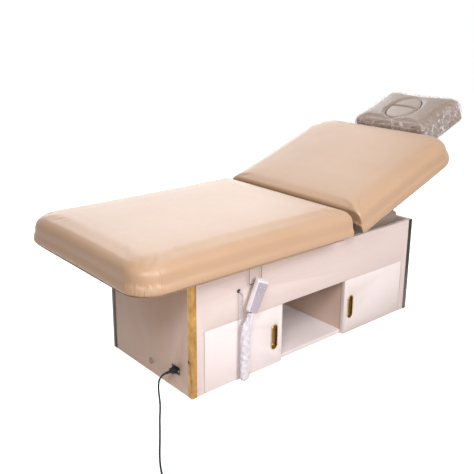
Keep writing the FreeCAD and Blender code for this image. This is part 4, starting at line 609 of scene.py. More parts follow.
# %% [markdown]
# # The curly cord
#
# The handset's lead is a curly cord: 77 small curls that hang from a grommet in the front panel
# to a few millimetres above the floor and rise again to the handset. The hanging line is a smooth
# NURBS curve; the curls are points set round it, and they are the control points of one more
# spline. Its slack lies in a clear crinkled sleeve, left on since delivery.

# %% Lay the curly cord
CURL_EXIT = (-0.426, -0.279, 0.381)
CURL_ROUTE = [
    CURL_EXIT,
    *[(-0.426, -0.297, height) for height in (0.381, 0.353, 0.270, 0.190, 0.120, 0.060, 0.040, 0.0165)],
    *[(-0.40134, -0.308, height) for height in (0.0165, 0.040, 0.060, 0.120, 0.200, 0.264)],
    (-0.387476, -0.308, 0.293742),
]
CURL_WIRE = 0.0032
CURL_RADIUS = 0.0045
CURL_END = 0.0036
CURLS = 77
CURL_STEPS = 12


def station_frames(points, stations, start_side):
    """Frames of a line at given distances, with the side carried along every point between."""
    frames = carried_frames(points, start_side)
    reached = along(points)
    found, index = [], 0
    for wanted in stations:
        while index < len(points) - 2 and reached[index + 1] < wanted:
            index += 1
        share = min(max((wanted - reached[index]) / max(reached[index + 1] - reached[index], 1e-9), 0), 1)
        before, after = frames[index], frames[index + 1]
        side = before[2].lerp(after[2], share).normalized()
        heading = before[1].lerp(after[1], share).normalized()
        found.append((before[0].lerp(after[0], share), heading, side, heading.cross(side)))
    return found


hanging_line = curve_points(nurbs("curly_cord_line", CURL_ROUTE))
hanging_length = along(hanging_line)[-1]
curled = hanging_length - 2 * CURL_END
turns = [n / CURL_STEPS for n in range(CURLS * CURL_STEPS + 1)]
curl_frames = station_frames(hanging_line, [CURL_END + curled * t / CURLS for t in turns], (1, 0, 0))
curl_points = [hanging_line[0]]
for turned, (point, heading, side, up) in zip(turns, curl_frames):
    radius = CURL_RADIUS * set_out(CURL_STEPS) * min(turned, CURLS - turned, 1)
    angle = 2 * math.pi * turned
    curl_points.append(point + (side * math.cos(angle) + up * math.sin(angle)) * radius)
curl_points.append(hanging_line[-1])
curly_curve = nurbs("curly_cord_run", curl_points, CURL_WIRE / 2, rings=2)
curly_curve.resolution_u = 3
curly_cord = show_cord("curly_cord_run", curly_curve, curly_rubber, "curly_rubber", "handset_cord")
curly_line = curve_points(nurbs("curl_check", curl_points))
print("curly cord:", round(along(curly_line)[-1], 3), "m in", CURLS, "curls")

# %% [markdown]
# The sleeve is thin clear film, so most of what is seen is its creases catching the light. It is a
# tube of flattened rings down the loop's middle, pinched under the handset and closed at the
# bottom. Each ring's outline gets soft folds from sums of sines, so the crinkles are real relief,
# and the finer ones are bump.


# %% Sleeve on the curly cord
def clear_film(name, tint, cloud_low, cloud_high, crease=0.0012, scale=70):
    """Thin film: mostly see-through, with milky creases and sharp highlights."""
    made, tree, shader = new_material(name, 0.16, Specular_IOR_Level=0.7)
    where = place_on(tree)
    folds = add_node(tree, "ShaderNodeTexVoronoi", {"Vector": where, "Scale": scale},
                     feature="DISTANCE_TO_EDGE")
    soft = noise(tree, where, scale * 0.6, 5, 0.65, 1.2)
    join(tree, shader, Alpha=spread_of(tree, soft, cloud_low, cloud_high),
         Normal=bump(tree, folds.outputs["Distance"], crease, 0.8, bump(tree, soft, crease * 3)),
         Base_Color=blend_colours(tree, soft, tint, tuple(min(1, c * 1.12) for c in tint)))
    return made


sleeve_film = clear_film("sleeve_film", (0.88, 0.83, 0.90), 0.45, 0.95)
SLEEVE_RINGS = 64
SLEEVE_SIDES = 56
SLEEVE_TOP = 0.292
SLEEVE_BOTTOM = 0.0055
SLEEVE_WIDE = 0.0195
SLEEVE_DEEP = 0.0088
PINCHED_WIDE = 0.0105
PINCHED_DEEP = 0.0062
PINCH_LENGTH = 0.075
top_middle = Vector((-0.3895, -0.308, SLEEVE_TOP))
loop_middle = Vector((-0.4125, -0.303, 0.02))
across = Vector((0.9135, -0.4067, 0))
through = Vector((0.4067, 0.9135, 0))


def sleeve_ring(level):
    share = level / SLEEVE_RINGS
    height = SLEEVE_TOP + (SLEEVE_BOTTOM - SLEEVE_TOP) * share
    drawn = min(max((SLEEVE_TOP - height) / PINCH_LENGTH, 0), 1)
    drawn = drawn * drawn * (3 - 2 * drawn)
    middle = top_middle.lerp(loop_middle, drawn)
    middle.z = height
    rounding = min((height - SLEEVE_BOTTOM) / SLEEVE_WIDE, 1)
    end = math.sqrt(max(1 - (1 - rounding) ** 2, 0.0))
    wide = (PINCHED_WIDE + (SLEEVE_WIDE - PINCHED_WIDE) * drawn) * max(end, 0.12)
    deep = (PINCHED_DEEP + (SLEEVE_DEEP - PINCHED_DEEP) * drawn) * max(end, 0.25)
    ring = []
    for step in range(SLEEVE_SIDES):
        angle = 2 * math.pi * step / SLEEVE_SIDES
        folds = 0.0011 * math.sin(7 * angle + 24 * share) + 0.0009 * math.sin(3 * angle - 60 * share + 2)
        folds += 0.0007 * math.sin(11 * angle + 95 * share) + 0.0006 * math.sin(46 * share + 2 * angle)
        a = (wide + folds * end) * math.cos(angle)
        b = (deep + folds * end) * math.sin(angle)
        ring.append(middle + across * a + through * b)
    return ring


sleeve = loft_piece("curly_cord_sleeve", [sleeve_ring(n) for n in range(SLEEVE_RINGS + 1)], "cabinet",
                    sleeve_film)
print("sleeve", round(SLEEVE_TOP - SLEEVE_BOTTOM, 3), "m long,", round(2 * SLEEVE_WIDE, 3), "m wide")

# %% [markdown]
# # Floor and light
#
# The picture has a white surround and light from the front, so the foot end of the cabinet is in
# warm shade. A large lamp stands low behind the bed, where the covers mirror it at a flat angle: it
# gives the pale sheen on the tops. Two more, overhead and off the foot corner, brighten the rounded
# edges. The floor and the world are white to the camera, and to mirrors and glass, but light the
# bed only faintly: Light Path tells the rays apart.


# %% Floor, world and lamps
def seen_white(tree, plain, white):
    """Mix two shaders: white for camera, mirror and glass rays, plain for all others."""
    path = add_node(tree, "ShaderNodeLightPath").outputs
    seen = path["Is Camera Ray"]
    for other in ("Is Glossy Ray", "Is Transmission Ray"):
        seen = add_node(tree, "ShaderNodeMath", {0: seen, 1: path[other]}, operation="MAXIMUM").outputs[0]
    return add_node(tree, "ShaderNodeMixShader", {0: seen, 1: plain, 2: white}).outputs[0]


FLOOR_GLOW = 0.85
FLOOR_PAINT = (0.86, 0.86, 0.86, 1)
FLOOR_DIM = (0.34, 0.26, 0.20, 1)
FILL_COLOUR = (1.0, 0.66, 0.45, 1)
FILL_STRENGTH = 0.19
WHITE = (1, 1, 1, 1)
world = bpy.data.worlds.new("studio")
bpy.context.scene.world = world
world.use_nodes = True
sky = world.node_tree
sky.nodes.clear()
fill_light, white_light = [
    add_node(sky, "ShaderNodeBackground", {"Color": colour, "Strength": strength}).outputs[0]
    for colour, strength in ((FILL_COLOUR, FILL_STRENGTH), (WHITE, 1.0))]
sky_out = add_node(sky, "ShaderNodeOutputWorld")
sky.links.new(seen_white(sky, fill_light, white_light), sky_out.inputs["Surface"])

floor_paint = bpy.data.materials.new("floor_paint")
floor_paint.use_nodes = True
floor_tree = floor_paint.node_tree
floor_shader = floor_tree.nodes["Principled BSDF"]
floor_shader.inputs["Base Color"].default_value = FLOOR_PAINT
floor_shader.inputs["Roughness"].default_value = 0.8
glow = add_node(floor_tree, "ShaderNodeEmission", {"Color": WHITE, "Strength": FLOOR_GLOW}).outputs[0]
lifted = add_node(floor_tree, "ShaderNodeAddShader", {0: floor_shader.outputs[0], 1: glow}).outputs[0]
dim = add_node(floor_tree, "ShaderNodeBsdfDiffuse", {"Color": FLOOR_DIM}).outputs[0]
floor_tree.links.new(seen_white(floor_tree, dim, lifted),
                     floor_tree.nodes["Material Output"].inputs["Surface"])
FLOOR_REACH = 9.0
floor_mesh = new_mesh("studio_floor", [(-FLOOR_REACH, -FLOOR_REACH, 0), (FLOOR_REACH, -FLOOR_REACH, 0),
                                       (FLOOR_REACH, FLOOR_REACH, 0), (-FLOOR_REACH, FLOOR_REACH, 0)],
                      [(0, 1, 2, 3)], smooth=False)
floor_mesh.materials.append(floor_paint)
studio_floor = put("studio_floor", floor_mesh)

COOL = (0.96, 1.0, 1.05)
# Name, place, the point it looks at, width and height, watts
LAMPS = [
    ("key", (-0.3, -3.3, 2.3), (-0.2, 0, 0.3), (1.7, 1.4), 98),
    ("low_front", (-1.8, -3.2, 0.9), (-0.6, 0, 0.4), (1.5, 1.0), 12),
    ("corner", (-2.4, -2.0, 2.5), (-0.9, -0.3, 0.5), (0.8, 0.8), 46),
    ("overhead", (0.1, -0.2, 3.3), (-0.2, 0, 0.6), (3.4, 1.3), 26),
    ("sheen", (1.15, 2.75, 2.1), (-0.3, 0, 0.6), (3.4, 3.0), 60),
]
for name, place, aim, size, power in LAMPS:
    light = bpy.data.lights.new(name, "AREA")
    light.shape = "RECTANGLE"
    light.size, light.size_y = size
    light.energy = power
    light.color = COOL
    way = Vector(aim) - Vector(place)
    turn = way.to_track_quat("-Z", "Y").to_matrix().to_4x4()
    put(name, light).matrix_world = Matrix.Translation(place) @ turn
bpy.context.scene.view_settings.view_transform = "Standard"
print("lamps:", len(LAMPS))

# %% [markdown]
# # The cushions
#
# Each section is a foam pad on a plywood board, and its leatherette cover is stretched over the
# foam and stapled under the board. The cover bows out a little where nothing holds it, so the
# shape comes from a cloth simulation: the pad starts a few millimetres too small, pressure swells
# it like the foam does, its underside stays held to the board, and no point may move further
# than a set distance. The raised pads are worked on lying level and are tilted back afterwards.

# %% Swell a pad with cloth
HINGE = Vector((0.150, 0, 0.502))
BACK_ANGLE = math.radians(20)
LEVEL = Matrix.Identity(4)
RAISED = Matrix.Translation(HINGE) @ Matrix.Rotation(-BACK_ANGLE, 4, "Y") @ Matrix.Translation(-HINGE)
BED_SHIFT = 0.017
PAD_BOTTOM = 0.515
LEG_BOTTOM = 0.514
START_SMALLER = 0.0045
MOST_MOVED = 0.0055
HELD_HEIGHT = 0.012
FREE_HEIGHT = 0.045
SWELL_FRAMES = 20
CLOTH = {"quality": 4, "mass": 0.4, "tension_stiffness": 12, "compression_stiffness": 12,
         "shear_stiffness": 6, "bending_stiffness": 1.5, "use_pressure": True, "uniform_pressure_force": 4,
         "vertex_group_mass": "held"}


def read_points(mesh):
    flat = np.empty(3 * len(mesh.vertices))
    mesh.vertices.foreach_get("co", flat)
    return flat.reshape(-1, 3)


def write_points(mesh, points):
    mesh.vertices.foreach_set("co", points.ravel())
    mesh.update()


def read_normals(mesh):
    flat = np.empty(3 * len(mesh.vertices))
    mesh.vertex_normals.foreach_get("vector", flat)
    return flat.reshape(-1, 3)


def off_middle(points):
    """Distances from the bed's middle line, which lies a little behind the cabinet's."""
    return np.abs(points[:, 1] - BED_SHIFT)


def merged_copy(node, place=LEVEL):
    """A CAD node's mesh as one merged shell, moved by the inverse of a placing."""
    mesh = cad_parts[node].data.copy()
    mesh.transform(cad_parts[node].matrix_world)
    mesh.transform(place.inverted())
    mesh.materials.clear()
    return reworked(mesh, lambda work: bmesh.ops.remove_doubles(work, verts=work.verts, dist=1e-5))


def with_modifiers(mesh, name, *settings):
    """The plain mesh that a stack of modifiers makes."""
    carrier = helper(name + "_carrier", mesh)
    for kind, values in settings:
        modifier = carrier.modifiers.new(kind.lower(), kind)
        for key, setting in values.items():
            setattr(modifier, key, setting)
    return plain_mesh(name, carrier, mesh)


def swollen(name, mesh, bottom):
    """Cloth with pressure inside, held at the underside, with its movement capped."""
    start = read_points(mesh)
    height = start[:, 2] - bottom
    free = np.clip((height - HELD_HEIGHT) / (FREE_HEIGHT - HELD_HEIGHT), 0, 1)
    normals = read_normals(mesh)
    free *= normals[:, 2] > -0.6
    smaller = start - normals * (START_SMALLER * free)[:, None]
    write_points(mesh, smaller)
    carrier = helper(name + "_cloth", mesh)
    held = carrier.vertex_groups.new(name="held")
    for index in np.flatnonzero(free < 0.999).tolist():
        held.add([index], float(1 - free[index]), "REPLACE")
    cloth = carrier.modifiers.new("swell", "CLOTH")
    for key, setting in CLOTH.items():
        setattr(cloth.settings, key, setting)
    cloth.settings.effector_weights.gravity = 0
    cloth.point_cache.frame_start = 1
    cloth.point_cache.frame_end = SWELL_FRAMES
    scene = bpy.context.scene
    for step in range(1, SWELL_FRAMES + 1):
        scene.frame_set(step)
    shown = carrier.evaluated_get(bpy.context.evaluated_depsgraph_get())
    moved = read_points(shown.data) - smaller
    scene.frame_set(1)
    reach = np.linalg.norm(moved, axis=1)
    moved *= (np.minimum(reach, MOST_MOVED) / np.maximum(reach, 1e-9))[:, None]
    bpy.data.objects.remove(carrier)
    write_points(mesh, smaller + moved)
    print(name, "moved by up to", round(float(reach.max()) * 1000, 1), "mm, kept to", MOST_MOVED * 1000)
    return mesh


def pad_shell(name, node, place, voxel, bottom):
    """Remesh a level copy of a CAD cushion evenly, swell it and subdivide it once."""
    mesh = with_modifiers(merged_copy(node, place), name,
                          ("REMESH", {"mode": "VOXEL", "voxel_size": voxel}),
                          ("SMOOTH", {"factor": 0.5, "iterations": 3}))
    mesh = swollen(name, mesh, bottom)
    return with_modifiers(mesh, name, ("SUBSURF", {"levels": 1, "render_levels": 1}))


# %% [markdown]
# ## Seams, pleats and stitches
#
# The remesh wipes out anything narrower than its voxels, so sewn detail comes after it. A band of
# faces along a seam is split finely, and a function of place presses the seam in and lets the
# cover rise beside it. Pleats at the rounded corners are the same idea, set out by angle. Stitches
# are real thread: one small capsule, copied along the seam by Geometry Nodes.


# %% Seams and pleats
def refine(mesh, inside, cuts=2):
    """Split the faces whose corners all lie in a zone; inside tests a table of points."""
    chosen = inside(read_points(mesh))

    def split(work):
        work.verts.ensure_lookup_table()
        edges = [e for e in work.edges if chosen[e.verts[0].index] and chosen[e.verts[1].index]]
        bmesh.ops.subdivide_edges(work, edges=edges, cuts=cuts, use_grid_fill=True)

    shade(reworked(mesh, split))


def press(mesh, depth_at):
    """Move every point along its normal by depth_at(points, normals)."""
    points, normals = read_points(mesh), read_normals(mesh)
    write_points(mesh, points + normals * depth_at(points, normals)[:, None])


def seam_relief(distance, deep=0.0016, raised=0.0007):
    """A narrow valley with a low ridge on both sides."""
    valley = np.exp(-(distance / 0.0013) ** 2)
    ridges = np.exp(-((np.abs(distance) - 0.0042) / 0.0022) ** 2)
    return ridges * raised - valley * deep


def pleat(across, height, width, tall, deep):
    """One fold, deepest at the lower edge, that dies out upwards."""
    fold = np.exp(-(across / width) ** 2) - 0.55 * np.exp(-((across - 1.9 * width) / (1.1 * width)) ** 2)
    fade = np.clip(1 - height / tall, 0, 1) ** 1.4 * np.clip(height / 0.004, 0, 1)
    return -deep * fold * fade


def ring_section(mesh, x, bottom, half, thickness):
    """The shell's outline at one x, from one lower edge up, across and down the other side."""
    tree = BVHTree.FromPolygons([v.co for v in mesh.vertices], [tuple(p.vertices) for p in mesh.polygons])
    rows = np.linspace(bottom + 0.006, bottom + thickness * 0.55, 22)
    rays = [((x, BED_SHIFT - half - 0.2, height), (0, 1, 0)) for height in rows]
    offs = np.linspace(-half + 0.012, half - 0.012, 150)
    rays += [((x, BED_SHIFT + off, bottom + 0.4), (0, 0, -1)) for off in offs]
    rays += [((x, BED_SHIFT + half + 0.2, height), (0, -1, 0)) for height in rows[::-1]]
    hits = [tree.ray_cast(Vector(start), Vector(way))[0] for start, way in rays]
    line = [p for p in hits if p]
    kept = [line[0]]
    for place in line[1:]:
        if (place - kept[-1]).length > 0.0015:
            kept.append(place)
    return kept


def thread_capsule(name, length, radius):
    """A stitch along X: a small six-sided capsule, a little sunk at both ends."""
    rings = []
    for share, size in ((-1, 0.35), (-0.8, 0.8), (-0.3, 1), (0.3, 1), (0.8, 0.8), (1, 0.35)):
        sink = -radius * 0.9 * share * share
        rings.append([(share * length / 2, size * radius * math.cos(math.pi * n / 3),
                       size * radius * math.sin(math.pi * n / 3) + sink) for n in range(6)])
    return helper(name, loft(name, rings))


# %% [markdown]
# ## Leatherette
#
# The cover is vinyl with a fine printed grain: cells about a millimetre across with soft valleys
# between them. The colour is warm beige and drifts a little over the surface. The gloss is
# moderate and uneven, and a thin clear coat and a little sheen make the pale reflections of a
# wiped vinyl.


# %% Leatherette
def leatherette(name, low_colour, high_colour, roughness, grain=0.00011, coat=0.0, cell=800):
    made, tree, shader = new_material(name, roughness, Specular_IOR_Level=0.42, Coat_Weight=coat,
                                      Coat_Roughness=0.34, Sheen_Weight=0.22,
                                      Sheen_Roughness=0.35)
    where = place_on(tree)
    cells = add_node(tree, "ShaderNodeTexVoronoi", {"Vector": where, "Scale": cell, "Randomness": 0.9},
                     feature="SMOOTH_F1").outputs["Distance"]
    pores = noise(tree, where, 2600, 2, 0.6)
    drift = noise(tree, where, 3.2, 5, 0.55, 0.4)
    wear = noise(tree, where, 38, 4, 0.6)
    under = bump(tree, wear, 0.0004, 0.5)
    join(tree, shader, Base_Color=blend_colours(tree, drift, low_colour, high_colour, 0.3, 0.7),
         Roughness=spread_of(tree, wear, roughness - 0.06, roughness + 0.1),
         Normal=bump(tree, pores, grain / 3, 0.6, bump(tree, cells, grain, 0.8, under)))
    return made


beige_cover = leatherette("beige_cover", (0.465, 0.292, 0.176), (0.50, 0.32, 0.20), 0.42, coat=0.28)
grey_cover = leatherette("grey_cover", (0.25, 0.18, 0.135), (0.285, 0.21, 0.16), 0.38, coat=0.3)
plug_cover = leatherette("plug_cover", (0.30, 0.22, 0.175), (0.335, 0.25, 0.20), 0.38, coat=0.3)
# A dull dark brown for the pads' faces in the gap: painted shade between the pads.
gap_shade_paint = leatherette("painted_gap_shade", (0.13, 0.095, 0.07), (0.17, 0.125, 0.095), 0.7)
thread, thread_tree, thread_shader = new_material("seam_thread", 0.6)
join(thread_tree, thread_shader, Base_Color=blend_colours(
    thread_tree, noise(thread_tree, place_on(thread_tree), 900), (0.62, 0.45, 0.32), (0.74, 0.57, 0.43)),
    Normal=bump(thread_tree, noise(thread_tree, place_on(thread_tree), 2400), 0.0001))
stitch = thread_capsule("stitch", 0.0034, 0.00045)

# %% [markdown]
# ## Leg cushion
#
# The cover of the long pad has a sewn end panel: an upright seam stands where each foot corner
# begins. The rounded corners have small pleats at the lower edge, and a few gathers sit further
# along the side. At the other end a seam runs round the edge of the straight gap face.

# %% Leg cushion
LEG_FOOT = -0.946
LEG_HEAD = 0.095
LEG_HALF = 0.419
FOOT_CORNER = 0.108
PAD_THICK = 0.122
SIDE_SEAM = -0.850
GAP_SEAM_IN = 0.010
SEAM_BAND = 0.009
FACING_DOWN = -0.7
GAP_FACE = 0.006
# Place along the side, width, height, depth
SIDE_PLEATS = [(-0.795, 0.0022, 0.040, 0.0012), (-0.690, 0.0030, 0.038, 0.0015),
               (-0.672, 0.0024, 0.030, 0.0012), (-0.560, 0.0036, 0.034, 0.0010),
               (-0.402, 0.004, 0.026, 0.0007), (-0.21, 0.004, 0.030, 0.0008)]
# Angle round the corner, width, height, depth
CORNER_PLEATS = [(12, 0.0022, 0.034, 0.0016), (24, 0.0020, 0.040, 0.0022), (32, 0.0026, 0.046, 0.0026),
                 (40, 0.0018, 0.030, 0.0018), (49, 0.0024, 0.040, 0.0021), (61, 0.0020, 0.032, 0.0016),
                 (75, 0.0024, 0.034, 0.0013)]


def corner_places(points, corner_x, way, corner):
    """Places outward from a corner's centre, along the bed and across it."""
    return way * (points[:, 0] - corner_x), off_middle(points) - (LEG_HALF - corner)


def corner_zone(points, height, corner_x, way, corner, tall):
    """The lower part of the rounded corners, near their skin."""
    outward, across = corner_places(points, corner_x, way, corner)
    near = (outward > -0.01) & (across > 0) & (height < tall) & (height > -0.003)
    return near & (np.hypot(outward, across) > corner - 0.03)


def corner_relief(points, normals, height, corner_x, way, corner, pleats):
    """Pleats round a corner, from a table of angle, width, height and depth."""
    outward, across = corner_places(points, corner_x, way, corner)
    angles = np.degrees(np.arctan2(across, outward))
    shown = (outward > 0) & (across > 0) & (normals[:, 2] > FACING_DOWN)
    depth = 0
    for angle, width, tall, deep in pleats:
        arc = np.radians(angles - angle) * corner
        depth += pleat(arc, height, width, tall, deep) * shown
    return depth


def leg_seams(points):
    """Distances to the foot seam and to the gap seam."""
    lean = 0.010 * np.clip((points[:, 2] - LEG_BOTTOM - 0.085) / 0.03, 0, 1) ** 2
    return points[:, 0] - SIDE_SEAM + lean, points[:, 0] - (LEG_HEAD - GAP_SEAM_IN)


def on_leg_sides(points):
    return (off_middle(points) > LEG_HALF - 0.060) & (points[:, 2] < LEG_BOTTOM + 0.112)


def leg_zone(points):
    side_seam, gap_seam = leg_seams(points)
    height = points[:, 2] - LEG_BOTTOM
    sides = on_leg_sides(points)
    corner = corner_zone(points, height, LEG_FOOT + FOOT_CORNER, -1, FOOT_CORNER, 0.048)
    side_band = sides & (np.abs(side_seam) < SEAM_BAND)
    gap_band = (np.abs(gap_seam) < SEAM_BAND) & (height > 0.002)
    pleats = np.array([p[0] for p in SIDE_PLEATS])
    gathers = sides & (height < 0.042) & (np.min(np.abs(points[:, 0][:, None] - pleats), axis=1) < 0.012)
    return corner | side_band | gap_band | gathers


def leg_relief(points, normals):
    side_seam, gap_seam = leg_seams(points)
    height = points[:, 2] - LEG_BOTTOM
    upright = np.clip(1 - np.abs(normals[:, 2]) / 0.95, 0, 1) ** 0.5
    outer = off_middle(points) > LEG_HALF - 0.055
    fade = np.clip((0.118 - height) / 0.02, 0, 1) * outer * upright
    depth = seam_relief(side_seam) * fade
    depth += seam_relief(gap_seam, 0.0009, 0.0006) * (height > 0.004)
    shown = outer & (normals[:, 2] > FACING_DOWN)
    for place, width, tall, deep in SIDE_PLEATS:
        depth += pleat(points[:, 0] - place, height, width, tall, deep) * shown
    return depth + corner_relief(points, normals, height, LEG_FOOT + FOOT_CORNER, -1, FOOT_CORNER,
                                 CORNER_PLEATS)


def pad_piece(name, mesh, place, body, node, cover, in_gap=None):
    """Show a pad; its face in the gap gets a dull dark brown, painted shade between the pads."""
    inner = [face.index for face in mesh.polygons if in_gap and in_gap(face.center)]
    mesh.transform(place)
    made = piece(name, mesh, body, cover, [node])
    # The faces in the gap take the painted shade as a second material.
    if inner:
        mesh.materials.append(gap_shade_paint)
    for index in inner:
        mesh.polygons[index].material_index = 1
    print(name, len(mesh.polygons), "faces")


def stitched_line(name, line, place, body, spacing=0.0045):
    """Stitches along a line that was found on a level pad."""
    mesh = copies_along(name, stitch, line, spacing, (0, 0, 1), thread)
    mesh.transform(place)
    piece(name, mesh, body)


leg_mesh = pad_shell("leg_pad", "leg_cushion", LEVEL, 0.008, LEG_BOTTOM)
refine(leg_mesh, leg_zone)
press(leg_mesh, leg_relief)
leg_stitches = ring_section(leg_mesh, LEG_HEAD - GAP_SEAM_IN - 0.0045, LEG_BOTTOM, LEG_HALF, PAD_THICK)
stitched_line("leg_pad_stitches", leg_stitches, LEVEL, "lift")
pad_piece("leg_pad", leg_mesh, LEVEL, "lift", "leg_cushion", beige_cover, lambda p: p.x > LEG_HEAD - GAP_FACE)

# %% [markdown]
# ## Back cushion
#
# The raised pad has the same seam round its gap face and gently drawn head corners.

# %% Back cushion
BACK_NEAR = HINGE.x - 0.002
BACK_FAR = HINGE.x + 0.713
BACK_CORNER = 0.131
BACK_CORNER_X = BACK_FAR - BACK_CORNER
BACK_PLEATS = [(20, 0.0022, 0.026, 0.0007), (38, 0.0024, 0.030, 0.0010), (52, 0.002, 0.026, 0.0009),
               (68, 0.0022, 0.024, 0.0006)]


def back_zone(points):
    height = points[:, 2] - PAD_BOTTOM
    gap_band = (np.abs(points[:, 0] - BACK_NEAR - GAP_SEAM_IN) < SEAM_BAND) & (height > 0.002)
    return gap_band | corner_zone(points, height, BACK_CORNER_X, 1, BACK_CORNER, 0.036)


def back_relief(points, normals):
    height = points[:, 2] - PAD_BOTTOM
    depth = seam_relief(points[:, 0] - BACK_NEAR - GAP_SEAM_IN, 0.0012, 0.0009) * (height > 0.004)
    return depth + corner_relief(points, normals, height, BACK_CORNER_X, 1, BACK_CORNER, BACK_PLEATS)


back_mesh = pad_shell("back_pad", "back_cushion", RAISED, 0.007, PAD_BOTTOM)
refine(back_mesh, back_zone)
press(back_mesh, back_relief)
back_stitches = ring_section(back_mesh, BACK_NEAR + GAP_SEAM_IN + 0.0045, PAD_BOTTOM, LEG_HALF, PAD_THICK)
stitched_line("back_pad_stitches", back_stitches, RAISED, "backrest")
pad_piece("back_pad", back_mesh, RAISED, "backrest", "back_cushion", beige_cover,
          lambda p: p.x < BACK_NEAR + GAP_FACE)

# %% [markdown]
# ## Headrest cushion
#
# The headrest is a thick wedge of foam with a face hole. Its cover is greyer, because it still
# wears the clear film that it was delivered in.

# %% Headrest cushion
HEAD_NEAR = HINGE.x + 0.728
HEAD_FAR = HEAD_NEAR + 0.336
HEAD_HALF = 0.221
HEAD_SEAM = HEAD_NEAR + 0.008
head_mesh = pad_shell("headrest_pad", "headrest_cushion", RAISED, 0.005, PAD_BOTTOM)


def head_zone(points):
    height = points[:, 2] - PAD_BOTTOM
    return (np.abs(points[:, 0] - HEAD_SEAM) < 0.006) & (height > 0.002)


def head_relief(points, normals):
    return seam_relief(points[:, 0] - HEAD_SEAM, 0.0008, 0.0005) * (points[:, 2] - PAD_BOTTOM > 0.004)


refine(head_mesh, head_zone, 1)
press(head_mesh, head_relief)
pad_piece("headrest_pad", head_mesh, RAISED, "headrest", "headrest_cushion", grey_cover)
bpy.data.objects.remove(stitch)

# %% [markdown]
# # Boards and doors
#
# The cabinet is chipboard with a pale, slightly pink maple laminate. No real edge is perfectly
# sharp, and the thin highlight along an eased edge is what makes a board read as a board. So each
# board is a merged copy of its CAD node with a small bevel on its sharp edges, and normals that
# keep the flats flat.


# %% Eased copies of CAD nodes
def eased(node, body, material, width=0.0007, segments=2):
    """A copy of a CAD node, merged, with its sharp edges bevelled."""
    joined = bmesh.new()
    source = merged_copy(node)
    joined.from_mesh(source)
    bpy.data.meshes.remove(source)
    bmesh.ops.dissolve_limit(joined, angle_limit=math.radians(0.4), verts=joined.verts, edges=joined.edges)
    label = node + "_finished"
    mesh = bpy.data.meshes.new(label)
    joined.to_mesh(mesh)
    joined.free()
    shade(mesh)
    bevel = {"width": width, "segments": segments, "limit_method": "ANGLE", "angle_limit": math.radians(38),
             "harden_normals": True, "miter_outer": "MITER_ARC"}
    mesh = with_modifiers(mesh, label, ("BEVEL", bevel))
    return piece(label, mesh, body, material, [node])


def refinish(material, *nodes):
    """Give a carried-over CAD node a better material in its own slots."""
    for node in nodes:
        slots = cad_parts[node].material_slots
        if not slots:
            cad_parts[node].data.materials.append(material)
        for place in slots:
            place.material = material


# %% [markdown]
# ## Laminate
#
# The printed grain runs upright on the outside boards. It is a noise stretched along the grain,
# with a second, finer one for the pores, and a slow drift so that no two boards look the same.
# The surface has the soft pearl of melamine: moderate gloss with a faint texture.


# %% Laminate, skirt board and plywood
def laminate(name, base, streak, pore, stretch, roughness=0.42, turned=(0, 0, 0)):
    made, tree, shader = new_material(name, roughness, Coat_Weight=0.05, Coat_Roughness=0.3,
                                      Specular_IOR_Level=0.35)
    where = place_on(tree, stretch, turned)
    figure = noise(tree, where, 4.0, 6, 0.55, 0.8)
    lines = noise(tree, where, 26, 4, 0.6, 0.3)
    pores = noise(tree, where, 90, 3, 0.7)
    drift = noise(tree, place_on(tree), 1.7, 2)
    ground = blend_colours(tree, figure, base, streak, 0.3, 0.75)
    streaked = mixed(tree, spread_of(tree, lines, 0.0, 0.45), ground, streak)
    open_pores = add_node(tree, "ShaderNodeMapRange",
                          {"Value": pores, "From Min": 0.62, "From Max": 0.8, "To Max": 0.35}).outputs[0]
    pored = mixed(tree, open_pores, streaked, pore)
    toned = mixed(tree, spread_of(tree, drift, 0.0, 0.1), pored, PALE)
    fine = noise(tree, place_on(tree), 700, 2)
    join(tree, shader, Base_Color=toned, Roughness=spread_of(tree, lines, roughness - 0.05, roughness + 0.08),
         Normal=bump(tree, fine, 0.00006, 0.6, bump(tree, pores, 0.00005, 0.5)))
    return made


PALE = (0.9, 0.86, 0.85)
UPRIGHT = (14, 14, 1.2)
LENGTHWISE = (1.2, 14, 14)
# Ground, streaks, pores
MAPLE = ((0.87, 0.785, 0.77), (0.84, 0.74, 0.715), (0.74, 0.62, 0.58))
# PANEL is the maple made darker: on the front panel it paints the shade under the cushions' overhang.
PANEL = ((0.80, 0.675, 0.64), (0.77, 0.63, 0.59), (0.67, 0.53, 0.48))
SHADED = ((0.78, 0.61, 0.52), (0.75, 0.57, 0.47), (0.65, 0.47, 0.37))
# INNER is the maple made dark brown: painted shade on the compartment's back and top.
INNER = ((0.33, 0.21, 0.14), (0.30, 0.185, 0.12), (0.25, 0.15, 0.095))
# DIVIDER is the maple made browner and darker: painted shade on the compartment's side walls.
DIVIDER = ((0.62, 0.45, 0.36), (0.58, 0.41, 0.32), (0.50, 0.34, 0.25))
# SKIRT is the skirt board's pale colour made dark: painted shade under the cushions.
SKIRT = ((0.25, 0.18, 0.135), (0.225, 0.16, 0.12), (0.185, 0.13, 0.095))
panel_shade_laminate = laminate("panel_shade_laminate", *PANEL, UPRIGHT)
shaded_laminate = laminate("shaded_laminate", *SHADED, UPRIGHT)
inner_shade_laminate = laminate("inner_shade_laminate", *INNER, UPRIGHT)
maple_laminate = laminate("maple_laminate", *MAPLE, UPRIGHT)
level_laminate = laminate("level_laminate", *MAPLE, LENGTHWISE)
skirt_shade_laminate = laminate("skirt_shade_laminate", *SKIRT, LENGTHWISE)
front_shade_laminate = laminate("front_shade_laminate", *PANEL, LENGTHWISE)
divider_shade_laminate = laminate("divider_shade_laminate", *DIVIDER, UPRIGHT)


